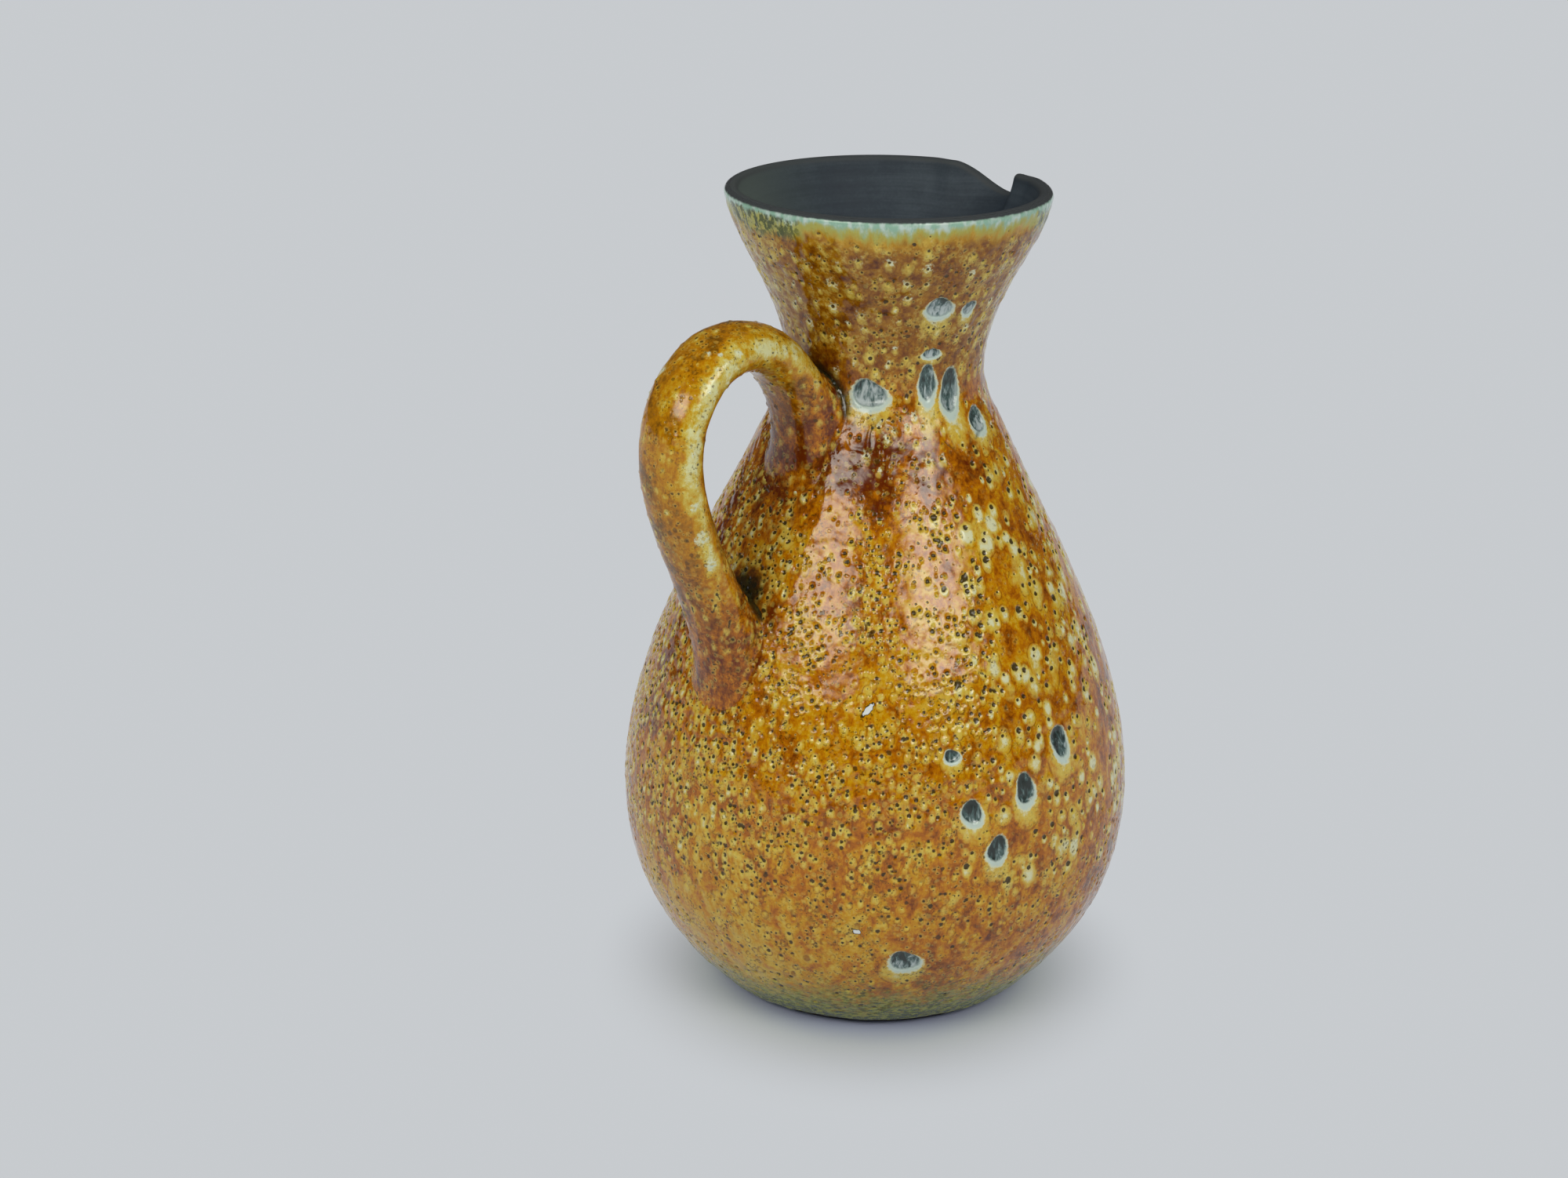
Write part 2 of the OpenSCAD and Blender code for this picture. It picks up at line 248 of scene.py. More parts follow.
def add_grid_map(piece, columns, heights):
    """Unwraps rings of points onto a rectangle, each ring at its own height from 0 to 1."""
    layer = piece.data.uv_layers.new(name="OFBake")
    here = np.tile(np.arange(columns), len(heights) - 1)
    across = np.stack([here, here + 1, here + 1, here], -1) / columns
    low = np.repeat(heights[:-1], columns)
    high = np.repeat(heights[1:], columns)
    up = np.stack([low, low, high, high], -1)
    layer.data.foreach_set("uv", np.stack([across, up], -1).astype(np.float32).ravel())


def make_coat(name, shown, back, fields):
    """Closed coat of shown and hidden rings, with the fields that its material reads."""
    rings = np.concatenate([shown, back])
    columns = rings.shape[1]
    piece = add_piece(name, rings.reshape(-1, 3), ring_faces(len(rings), columns))
    heights = [np.linspace(0, SHOWN_END, len(shown)), np.linspace(HIDDEN_START, 1, len(back) + 1)]
    add_grid_map(piece, columns, np.concatenate(heights))
    for field, values in fields.items():
        add_fields(piece, field, values)
    return piece


# Marks in the glaze

# A crater's pale rim hangs this share of its height below its slate bottom
RIM_SAG = 0.13
# Height of the raised edges of a pit and a crater, and the most that a pit is off its grid point
PIT_EDGE = 0.08
CRATER_EDGE = 0.16
PIT_SHIFT = 0.3
# Place of a grid point that is on another part of the surface, and the side of a search cell
FAR = 99
CELL = 4


class Skin:
    """Grid of points on a coat's outer face, with the marks that the glaze has at each point."""

    def __init__(self, points, normals):
        self.points = points
        self.normals = normals
        self.rows, self.columns = points.shape[:2]
        self.pit, self.crater, self.rim = np.full((3, self.rows, self.columns), -1.0)
        self.halo, self.glow, self.pool, self.white, self.dent = np.zeros((5, self.rows, self.columns))
        down = np.array([0, 0, -1.0]) + normals * normals[..., 2:]
        self.down = down / np.maximum(np.linalg.norm(down, axis=-1, keepdims=True), 1e-6)
        self.side = np.cross(normals, self.down)
        self.row_step = np.linalg.norm(np.diff(points, axis=0), axis=-1).mean(1)

    def window(self, row, column, reach):
        """Grid points within a reach of one point, and their places beside and below it."""
        middle = self.points[row, column]
        neighbour = self.points[row, (column + 1) % self.columns]
        wide = int(reach / max(np.linalg.norm(neighbour - middle), 0.05)) + 2
        tall = int(reach / self.row_step[min(row, self.rows - 2)]) + 2
        rows = np.arange(max(row - tall, 0), min(row + tall + 1, self.rows))[:, None]
        columns = np.arange(column - wide, column + wide + 1)[None, :] % self.columns
        offset = self.points[rows, columns] - middle
        near = np.abs(offset @ self.normals[row, column]) < 0.6 * reach + 1
        across = np.where(near, offset @ self.side[row, column], FAR)
        return (rows, columns), across, offset @ self.down[row, column]

    def keep_most(self, field, spot, values):
        field[spot] = np.maximum(field[spot], values)

    def add_pit(self, row, column, radius, halo_wide, halo_long, strength, depth, clear=1.0):
        """Small dark pit with a raised edge and a pale halo that runs down from it."""
        spot, across, below = self.window(row, column, radius + 2.2 * halo_long)
        across = across - random.uniform(-PIT_SHIFT, PIT_SHIFT)
        below = below - random.uniform(-PIT_SHIFT, PIT_SHIFT)
        away = np.hypot(across, below) / radius
        self.keep_most(self.pit, spot, np.minimum(1 - away, clear))
        past = (away - 1) * radius
        self.dent[spot] -= PIT_EDGE * bell(past - 0.7, 0.5)
        self.keep_most(self.dent, spot, depth * smooth(past, 0.4, -0.7 * radius))
        pale = np.hypot(across / halo_wide, (below - 0.45 * halo_long) / halo_long)
        self.keep_most(self.halo, spot, strength * np.clip(1 - pale * pale, 0, 1) ** 1.5)
        self.keep_most(self.glow, spot, np.clip(1 - pale * pale / 3.2, 0, 1) ** 2)

    def add_crater(self, row, column, wide, tall, clear, depth):
        """Burst bubble with a pale rim and a slate bottom, paler where it isn't clear, paler low where glaze
        pooled and darker high as painted shade.
        """
        spot, across, below = self.window(row, column, 1.6 * max(wide, tall))
        turn = np.arctan2(below, across)
        wobble = 1 + 0.08 * np.sin(2 * turn + column) + 0.06 * np.sin(3 * turn + row)
        away = np.hypot(across / (wide / 2), below / (tall / 2)) * wobble
        low = np.hypot(across / (wide / 2), (below - RIM_SAG * tall) / (tall / 2)) * wobble
        self.keep_most(self.crater, spot, 1 - away * 1.08)
        # Glaze pooled low in the crater pales its bottom there; darker towards the top and one side is
        # painted shade
        pool = 1 - clear + 0.45 * below / tall + 0.3 * across / wide
        self.pool[spot] = np.where(away < 1.1, pool, self.pool[spot])
        self.keep_most(self.rim, spot, 1 - low / 1.24)
        self.keep_most(self.dent, spot, depth * smooth(1.05 - away, 0, 0.4))
        self.dent[spot] -= CRATER_EDGE * bell(low - 1.25, 0.25)
        pale = np.hypot(across / (0.85 * wide), (below - 0.45 * tall) / (0.95 * tall))
        self.keep_most(self.halo, spot, 0.78 * np.clip(1 - pale * pale, 0, 1))
        self.keep_most(self.glow, spot, np.clip(1.3 - pale * pale, 0, 1))

    def add_eye(self, row, column, wide, strength, clear):
        """Soft cream or mint spot with a small dark pit in it."""
        spot, across, below = self.window(row, column, wide)
        away = np.hypot(across, below / 1.2) / (wide / 2)
        self.keep_most(self.rim, spot, strength * (1 - away))
        radius = wide * random.uniform(0.13, 0.22)
        self.add_pit(row, column, radius, 0.6 * wide, 0.8 * wide, 0.5, 0.3, clear)

    def add_white(self, row, column, wide, tall, lean):
        """Spot of bare white glaze."""
        spot, across, below = self.window(row, column, 2 * max(wide, tall))
        turned = across * math.cos(lean) + below * math.sin(lean)
        other = below * math.cos(lean) - across * math.sin(lean)
        away = np.hypot(turned / (wide / 2), other / (tall / 2))
        self.keep_most(self.white, spot, np.clip(1.3 - away, 0, 1))

    def scatter(self, density, spacing):
        """Random grid points, denser where density is high and no closer than spacing there."""
        step = np.linalg.norm(np.roll(self.points, -1, axis=1) - self.points, axis=-1)
        area = step * np.append(self.row_step, self.row_step[-1])[:, None]
        expected = (density * area).ravel()
        spacing = np.broadcast_to(spacing, area.shape)
        chosen = np.flatnonzero(random.random(expected.size) < expected)
        random.shuffle(chosen)
        cells = {}
        kept = []
        for index in chosen:
            row, column = divmod(int(index), self.columns)
            spot = self.points[row, column]
            key = tuple((spot // CELL).astype(int))
            if not self.crowded(cells, key, spot, spacing[row, column]):
                cells.setdefault(key, []).append(spot)
                kept.append((row, column))
        return kept

    def crowded(self, cells, key, spot, gap):
        """Whether a kept point in this or a neighbouring cell is closer than the gap."""
        for step in np.ndindex(3, 3, 3):
            beside = (key[0] + step[0] - 1, key[1] + step[1] - 1, key[2] + step[2] - 1)
            if any(math.dist(spot, other) < gap for other in cells.get(beside, ())):
                return True
        return False

    def scatter_pits(self, density, spacing, kind, share=1.0):
        """Scatters one kind of pit, with halos as strong as the share at each point says."""
        wide, radius, length, strength, depth, clear = kind
        share = np.broadcast_to(share, self.pit.shape)
        for row, column in self.scatter(density, spacing):
            halo = draw(wide)
            self.add_pit(row, column, draw(radius), halo, halo * draw(length),
                         share[row, column] * draw(strength), draw(depth), draw(clear))


def draw(span):
    """Random value between two, nearer the first if a third is above 1, or a single value as it is."""
    if isinstance(span, float):
        return span
    low, high, power = (*span, 1)[:3]
    return low + (high - low) * random.random() ** power


# Kinds of pits: width of the halo, radius, length of the halo over its width, strength, depth and clearness
FINE_PITS = ((0.8, 1.8), (0.25, 0.85, 1.8), (1, 1.5), (0.05, 1), (0.25, 0.55), (0.14, 0.6))
FLANK_PITS = ((1.1, 1.8), (0.4, 0.85), (1.2, 1.8), (0.35, 1.05), 0.5, (0.15, 0.5))
NECK_PITS = ((1.3, 2.7), (0.3, 0.7), 1.2, (0.15, 0.75), 0.45, (0.05, 0.4))
COARSE_PITS = ((1.1, 3.9, 2), (0.3, 1.0, 1.5), (0.9, 1.6), (0.3, 1.4), (0.25, 0.55), 1.0)
HANDLE_PITS = ((0.7, 1.6), (0.25, 0.6), (1, 1.4), (0, 0.8), (0.12, 0.3), (0.02, 0.2))

# Large craters: angle round the axis in degrees, height, width, tallness, and how clear the slate bottom is
SEEN_CRATERS = (
    (249, 222, 8, 8, 0.5), (266, 221, 4.5, 5.5, 0.6), (215.5, 195, 10.8, 8.6, 0.45), (249, 198, 5.5, 13, 0.7),
    (264, 195, 7, 14, 0.7), (250, 207, 6.5, 3, 0.4), (281, 185, 7.5, 8, 0.7), (272, 96, 7.5, 10, 0.95),
    (260, 85, 7, 9.5, 1), (246, 81, 7, 7.5, 1), (252, 69, 6.5, 9, 0.95), (242, 98, 4.8, 4.4, 0.9),
    (232, 33, 9.5, 8.5, 0.75),
)
# The same kind of craters on the side away from the photograph
OTHER_CRATERS = (
    (38, 88, 7, 9, 1), (52, 70, 5.5, 7, 1), (66, 104, 6, 8, 1), (30, 58, 5, 6, 1), (92, 189, 6, 11, 0.8),
    (108, 200, 5, 9, 0.7), (75, 215, 6, 6, 0.5), (320, 110, 6, 8, 1), (336, 76, 7, 8, 1),
    (12, 140, 5, 6, 0.8), (128, 44, 6, 6, 0.7), (60, 30, 7, 6.5, 0.7),
)
CRATER_DEPTH = 0.62
# Middling pits with a strong white halo: angle and height
SEEN_PITS = (
    (263, 135), (269, 134), (262, 119), (245, 117), (261, 149), (252, 145), (286, 133), (283, 115),
    (260, 102), (266, 99), (269, 81), (245, 65), (255, 58), (273, 57), (274, 169), (285, 164),
    (244, 162), (252, 136),
)
# White chips: angle, height, width, tallness and lean
WHITE_CHIPS = ((222, 111, 5.5, 1.8, -0.9), (221, 44, 2.6, 1.6, 0.2), (187, 131, 4.5, 5, 0.3))


# Rim

CROWN_STEPS = 26
LINING_SINK = 0.2
RIM_FULLNESS = 1.35
BACK_FULLNESS = 1.2
OVERLAP = 0.3


def crown(start_depth, end_depth, high, fullness, steps):
    """Rim between two depths, from the inside to the outside, flatter on top for a higher fullness."""
    start = np.array(skin(RIM_Z, start_depth))
    end = np.array(skin(RIM_Z, end_depth))
    turn = np.linspace(0, math.pi, steps + 2)[1:-1, None]
    along = np.array([math.sin(RIM_LEAN), math.cos(RIM_LEAN)])
    across = np.sign(np.cos(turn)) * np.abs(np.cos(turn)) ** (1 / fullness)
    rise = np.abs(np.sin(turn)) ** (1 / fullness)
    return (start + end) / 2 + (start - end) / 2 * across + along * high * rise


def rim_profile(inner):
    """Inner part of the rim, from the inside, or outer part, from the outside, one just under the other."""
    share = np.arange(1, CROWN_STEPS + 1)[:, None] / (CROWN_STEPS + 1)
    covered = smooth(share, 0.46, 0.6) if inner else smooth(share, 0.54, 0.42)
    high = RIM_CROWN - LINING_SINK - OVERLAP * covered
    depth = clay_depth(RIM_Z) + LINING_WALL
    profile = crown(depth, COAT_SINK, high, RIM_FULLNESS, CROWN_STEPS)
    return profile[share[:, 0] < 0.68] if inner else profile[share[:, 0] > 0.4][::-1]


# Outer coat of the body

BODY_COLUMNS = 960
BODY_STEP = 0.5
BACK_RINGS = 40
JOINT_Z = WAIST_Z - 14
# The coat rolls in above the foot by this depth, over this height
FOOT_ROLL = 0.7
FOOT_ROLL_HIGH = 1.6
# Rise of the glaze in the middle of a strong halo, and darkness of the crease at the joint
HALO_RISE = 0.14
JOINT_DARK = 0.62
# Height of the pale band under the lip, and mean height, tilt and highest side of the green band at the foot
LIP_BAND = 13
FOOT_BAND = 27
FOOT_BAND_TILT = 6
FOOT_BAND_TURN = 265
# Angle of the middle and half width of each mossy part under the lip
MOSSY = ((170, 40), (300, 26), (70, 40))

body_z = even_heights(GLAZE_LIFT, RIM_Z, BODY_STEP)
body_angle = ring_angles(BODY_COLUMNS)
body_level = np.repeat(body_z[:, None], BODY_COLUMNS, 1)
body_turn = np.repeat(np.degrees(body_angle)[None, :], len(body_z), 0)


def body_points(depth):
    radius, z = skin(body_level, depth)
    return poured(radius, z, body_angle[None, :])


def body_normals():
    slope = outer(body_level)[1]
    across = 1 / np.sqrt(1 + slope * slope)
    return np.stack([across * np.cos(body_angle), across * np.sin(body_angle), -slope * across], -1)


def nearest(turn, level):
    """Row and column of the body's grid nearest an angle and a height."""
    row = int(np.abs(body_z - level).argmin())
    return row, int(round(turn / 360 * BODY_COLUMNS)) % BODY_COLUMNS


def coarse_share():
    """Where the glaze has few, large pits instead of many fine ones."""
    seen = band(body_turn, 238, 262, 325, 350)
    unseen = band(body_turn, 20, 50, 95, 130)
    return np.maximum(seen, unseen) * band(body_level, 48, 75, 196, 206)


def flank_share():
    """Where the fine pits have clear pale rings: under the handle and on the opposite flank."""
    under = band(body_turn, 120, 140, 178, 205)
    opposite = smooth(np.abs(angle_off(body_turn, 0)), 35, 10)
    return np.maximum(under, opposite) * band(body_level, 50, 75, 150, 175)


def root_distance(points, oval, reach):
    """Distance past a handle root's oval, as a share of the reach."""
    level, high, wide = oval[:3]
    up = (points[..., 2] - level) / (high / 2)
    across = points[..., 1] / (wide / 2)
    past = (np.hypot(up, across) - 1) * (high + wide) / 4
    return np.where(points[..., 0] < 0, past / reach, 9)


def near_root(points, oval, reach):
    """1 on a handle root, falling to 0 a reach or two away from it."""
    return bell(np.clip(root_distance(points, oval, reach), 0, None), 1)


def brown_share(points):
    """Where the glaze has run thick and turned red-brown, below 0 where it is golden instead; part of the
    golden is painted light, under the shoulder's highlights and on the left of the neck.
    """
    level = points[..., 2]
    turn = turn_of(points)
    noise = lattice_noise(points, 8, 40, 0.5)
    beside = lobe(turn, 216, 34) + lobe(turn, 60, 40)
    blotches = (0.2 + 0.9 * smooth(noise, 0.36, 0.6)) * (0.4 + 0.7 * beside)
    streaks = 0.25 + 0.75 * smooth(noise, 0.35, 0.65)
    brown = np.max([
        0.8 * near_root(points, UPPER_OVAL, 11),
        0.55 * near_root(points, LOWER_OVAL, 8),
        blotches * bell(level - 176, 11),
        0.5 * lobe(turn, 176, 16) * band(level, 90, 112, 112, 125),
        0.3 * bell(level - 196, 10),
        0.35 * lobe(turn, 300, 14) * smooth(level, 140, 90),
        0.3 * band(level, 188, 204, 236, 247),
        streaks * lobe(turn, 157, 9) * band(level, 45, 80, 150, 180),
    ], axis=0)
    golden = 0.85 * lobe(turn, 184, 36) * smooth(level, 74, 30)
    # Lighter tan on the left of the neck: a painted reflection
    tan = 0.65 * lobe(turn, 158, 17) * smooth(level, 204, 214)
    # Golden under the shoulder's highlights: painted highlight
    return np.clip(brown - golden - tan - 0.3 * highlight_golden_share(points), -1, 1)


def highlight_golden_share(points):
    """Two broad runs down the shoulder, under the softbox highlights, painted golden with weaker halos: a
    painted highlight.
    """
    turn = turn_of(points)
    return (lobe(turn, 203, 11) + lobe(turn, 236, 10)) * band(points[..., 2], 92, 118, 152, 172)


def crotch_shade_share(points):
    """Where the body is darkened in the creases beside the handle's roots: dark glaze gathered there, and
    painted shade.
    """
    level = points[..., 2]
    lower_top = LOWER_OVAL[0] + LOWER_OVAL[1] / 2
    below = bell(level - lower_top - 2, 9) * bell(points[..., 1], 9)
    above = near_root(points, UPPER_OVAL, 4.5) * smooth(level, UPPER_OVAL[0] - 6, UPPER_OVAL[0] + 6)
    return np.where(points[..., 0] < 0, np.maximum(below, 0.9 * above), 0)


def joint_share(points):
    """Broken crease where the neck is joined to the belly."""
    wander = 9.0 * (lattice_noise(points, 6, 70) - 0.5)
    broken = smooth(lattice_noise(points, 5, 25), 0.5, 0.68)
    return broken * bell(points[..., 2] - JOINT_Z - wander, 0.8)


def moss_share(points):
    """Where the band under the lip is mossy."""
    turn = turn_of(points)
    return np.max([hump(angle_off(turn, middle), wide) for middle, wide in MOSSY], axis=0)


def lip_share(points):
    """1 at the rim, falling to 0 where the pale band under the lip ends."""
    drop = LIP_DROP * hump(np.radians(angle_off(turn_of(points), 0)), LIP_SPREAD)
    return np.clip(1 - (RIM_Z - drop - points[..., 2]) / LIP_BAND, 0, 1)


def foot_share(points):
    """1 at the foot, falling to 0 where the green band above it ends."""
    high = FOOT_BAND + FOOT_BAND_TILT * np.cos(np.radians(turn_of(points) - FOOT_BAND_TURN))
    return np.clip(1 - points[..., 2] / high, 0, 1)


def neck_share(points):
    """1 on the funnel of the neck, 0 on the belly."""
    return smooth(points[..., 2], 190, 206)


def mark_body(body, coarse):
    """Adds all pits and craters of the body's coat."""
    for turn, level, wide, tall, clear in SEEN_CRATERS + OTHER_CRATERS:
        body.add_crater(*nearest(turn, level), wide, tall, clear, CRATER_DEPTH)
    for turn, level in SEEN_PITS:
        radius = random.uniform(0.9, 1.4)
        body.add_pit(*nearest(turn, level), radius, 2.2, random.uniform(2.6, 3.6), 1.0, 0.55)
    for turn, level, wide, tall, lean in WHITE_CHIPS:
        body.add_white(*nearest(turn, level), wide, tall, lean)
    quiet = smooth(body_level, 6, 20) * (1 - 0.9 * smooth(body_level, 233, 242))
    neck = neck_share(body.points)
    high = band(body_level, 170, 184, 236, 240) * (1 + 1.3 * bell(body_level - 184, 8))
    for row, column in body.scatter(0.017 * high * (body.rim < -0.5), 3.4):
        body.add_eye(row, column, random.uniform(2.0, 4.0), random.uniform(0.03, 0.15), 0.4)
    low = smooth(body_level, 80, 40)
    flank = flank_share()
    crowds = 0.25 + 1.5 * smooth(lattice_noise(body.points, 7, 12), 0.34, 0.66)
    clear = body.rim < -0.3
    thin = (1 - 0.5 * np.clip(brown_share(body.points), 0, 1)) * clear
    fine = quiet * (1 - coarse) * crowds * thin * (0.19 - 0.11 * low - 0.11 * neck - 0.06 * flank)
    # Halos are weaker under the shoulder's highlights, as part of the painted highlight
    strength = thin * (0.8 - 0.45 * low - 0.4 * neck - 0.45 * highlight_golden_share(body.points))
    body.scatter_pits(fine, 1.2 + 0.6 * neck + 0.5 * low, FINE_PITS, strength)
    body.scatter_pits(0.15 * flank * thin, 2.2, FLANK_PITS)
    body.scatter_pits(0.055 * neck * quiet * clear, 2.4, NECK_PITS)
    body.scatter_pits(quiet * coarse * crowds * thin * 0.075, 2.0, COARSE_PITS)


def lumps(points, coarse):
    """Unevenness of the thick glaze: runs on the shoulder, a hammered neck and gentle swells elsewhere."""
    neck = neck_share(points)
    runs = 0.25 + 0.3 * bell(points[..., 2] - 168, 18)
    rough = 0.2 + 0.1 * neck + 0.12 * flank_share()
    relief = 0.25 * joint_share(points)
    for height, *lump in (
        (0.26, 6.5, 31),
        (0.32 * neck, 3.6, 15),
        (rough, 2.6, 7),
        (runs, 9, 90, 0.3),
        (0.34 * smooth(points[..., 2], 62, 14), 2.8, 44, 0.5),
        (0.1 - 0.04 * coarse, 1.7, 60),
    ):
        relief = relief + height * (lattice_noise(points, *lump) - 0.5)
    return relief


def body_sink(body, coarse):
    """Depth of the coat's outer face under the solid's at each point."""
    sink = COAT_SINK + lumps(body.points, coarse) + body.dent - HALO_RISE * body.halo
    for oval in (UPPER_OVAL, LOWER_OVAL):
        under = smooth(root_distance(body.points, oval, 1), -0.5, -3)
        sink = np.maximum(sink, MOST_SINK * under)
    roll = FOOT_ROLL * smooth(body_level, GLAZE_LIFT + FOOT_ROLL_HIGH, GLAZE_LIFT) ** 2
    sink = np.clip(sink + roll, LEAST_SINK, MOST_SINK)
    return sink + (COAT_SINK - sink) * smooth(body_level, RIM_Z - 2.5, RIM_Z)


def make_body_coat():
    """Outer glaze of belly and neck in one coat, as it is on the real jug."""
    base = body_points(0)
    body = Skin(base, body_normals())
    coarse = coarse_share()
    mark_body(body, coarse)
    edge = rim_profile(False)
    rim = poured(edge[:, :1], edge[:, 1:], body_angle[None, :])
    shown = np.concatenate([body_points(body_sink(body, coarse)), rim])
    back_z = np.linspace(RIM_Z, GLAZE_LIFT, BACK_RINGS)[:, None]
    back = poured(*skin(back_z, COAT_BACK), body_angle[None, :])
    over_rim = np.arange(1, len(edge) + 1)[:, None] / len(edge) + 1
    lip = np.concatenate([lip_share(base), np.repeat(over_rim, BODY_COLUMNS, 1)])
    # Dark creases: the joint of neck and belly, and beside the handle's roots dark glaze with painted shade
    crease = np.maximum(crotch_shade_share(base), JOINT_DARK * joint_share(base))
    return make_coat("body_glaze", shown, back, {
        "marks": (body.pit, body.halo, body.glow),
        "bursts": (body.crater, body.rim, crease),
        "zones": (brown_share(base), foot_share(base), lip),
        "spots": (body.white, 1 - coarse, 0 * coarse),
        "blend": (neck_share(base), body.pool, moss_share(base)),
    })


# Coat of the handle

HANDLE_COLUMNS = 120
HANDLE_STEP = 0.6
FLARE_LENGTH = 22
# About how much longer the loop's curves are than their chords, and rounds of the search for a radius
BOW = 1.1
SKIN_ROUNDS = 6
FILLET = 0.9
FILLET_SINK = 0.55
LOWER_TRAIL = 6.0
# Growth of the sleeve's hidden back over the clay, and the step between its rings
BACK_GROWTH = 0.05
BACK_STEP = 4.0
# Large mint dots low on the handle: height and width, and the column they are on
DOTS = ((162, 5.0), (154, 4.4), (172, 3.0))
DOT_COLUMN = 96


def leave(tilt):
    return np.array([math.cos(tilt), math.sin(tilt)])


def sweep(start, way_start, end, way_end, fullness):
    """Control points of a curve that leaves start in one direction and reaches end in another."""
    pull = fullness * np.linalg.norm(end - start)
    return np.array([start, start + way_start * pull, end - way_end * pull, end])


def cubic(p, t):
    u = 1 - t
    return p[0] * u ** 3 + p[1] * 3 * u * u * t + p[2] * 3 * u * t * t + p[3] * t ** 3


def cubic_way(p, t):
    u = 1 - t
    way = (p[1] - p[0]) * u * u + (p[2] - p[1]) * 2 * u * t + (p[3] - p[2]) * t * t
    return way / np.linalg.norm(way)


OUTWARD = np.array([1, 0])
DOWNWARD = np.array([0, -1])
UPPER_ROOT = np.array(skin(UPPER_OVAL[0], 0))
LOWER_ROOT = np.array(skin(LOWER_OVAL[0] + LOWER_SMEAR, 0))
LOOP = (
    sweep(UPPER_ROOT, leave(UPPER_TILT), LOOP_TOP, OUTWARD, ROUND_FULLNESS),
    sweep(LOOP_TOP, OUTWARD, LOOP_OUT, DOWNWARD, ROUND_FULLNESS),
    sweep(LOOP_OUT, DOWNWARD, LOWER_ROOT, -leave(LOWER_TILT), LEG_FULLNESS),
)
# Parts of the three curves between the flares of the roots
SPANS = ((ROOT_SHARE, 1), (0, 1), (0, 1 - ROOT_SHARE))
oval_turn = ring_angles(HANDLE_COLUMNS)


def section(curve, t, coat):
    """Ring of the loop's oval section, grown by a coat."""
    middle = cubic(curve, t)
    way = cubic_way(curve, t)
    out = np.array([-way[1], way[0]])
    reach = (HANDLE_THICK / 2 + coat) * np.cos(oval_turn)
    side = (HANDLE_WIDTH / 2 + coat) * np.sin(oval_turn)
    return np.stack([-(middle[0] + out[0] * reach), side, middle[1] + out[1] * reach], -1)


def skin_r(level, depth):
    """Radius of the body's surface at a depth, at a height."""
    z = np.array(level, float)
    for _ in range(SKIN_ROUNDS):
        z = level - skin(z, depth)[1] + z
    return skin(z, depth)[0]


def root_ring(oval, grow, depth):
    """Oval of a handle root on the body's surface."""
    level = oval[0] + oval[3] * (oval[1] / 2 + grow) * np.cos(oval_turn)
    side = (oval[2] / 2 + grow) * np.sin(oval_turn)
    radius = skin_r(level, depth)
    return np.stack([-np.sqrt(radius * radius - side * side), side, level], -1)


def flare(oval, ring, way, coat, steps):
    """Rings that run smoothly from the body's surface into the loop, furthest below the root."""
    trail = LOWER_TRAIL * smooth(-oval[3] * np.cos(oval_turn), 0.1, 1)
    edge = root_ring(oval, coat + FILLET + trail, FILLET_SINK)
    inner = root_ring(oval, coat - 1 + trail / 3, FILLET_SINK - 0.5)
    reach = ROOT_REACH * np.linalg.norm(ring - inner, axis=-1, keepdims=True)
    corner = ring + np.array([-way[0], 0, way[1]]) * reach
    return [cubic((edge, inner, corner, ring), t) for t in np.arange(steps) / steps]


def handle_rings(coat, step):
    """All rings of the handle's outer face, from the upper root to the lower one."""
    rings = []
    for curve, (start, end) in zip(LOOP, SPANS):
        length = np.linalg.norm(cubic(curve, end) - cubic(curve, start)) * BOW
        count = max(int(length / step), 3)
        places = np.linspace(start, end, count, endpoint=curve is LOOP[2])
        rings += [section(curve, t, coat) for t in places]
    steps = max(int(FLARE_LENGTH / step), 6)
    upper = flare(UPPER_OVAL, rings[0], -cubic_way(LOOP[0], ROOT_SHARE), coat, steps)
    lower = flare(LOWER_OVAL, rings[-1], cubic_way(LOOP[2], 1 - ROOT_SHARE), coat, steps)
    return np.array(upper + rings + lower[::-1])


def grid_normals(points):
    along = np.gradient(points, axis=0)
    around = np.roll(points, -1, axis=1) - np.roll(points, 1, axis=1)
    normals = np.cross(along, around)
    return normals / np.maximum(np.linalg.norm(normals, axis=-1, keepdims=True), 1e-9)


def mark_handle(handle, edge, free):
    """Body pits near the roots, few faint ones along the loop, and mint dots along its edges."""
    level = handle.points[..., 2].mean(1)
    half = len(level) // 2
    for height, wide in DOTS:
        row = half + int(np.abs(level[half:] - height).argmin())
        handle.add_eye(row, DOT_COLUMN, wide, 0.2, 0.08)
    handle.scatter_pits(0.11 * (1 - free), 1.5, FINE_PITS, 0.6)
    handle.scatter_pits(0.035 * free, 2.2, HANDLE_PITS)
    for row, column in handle.scatter(0.03 * edge * free * (handle.rim < -0.5), 3.2):
        handle.add_eye(row, column, random.uniform(1.6, 3.2), random.uniform(0.04, 0.18), 0.12)


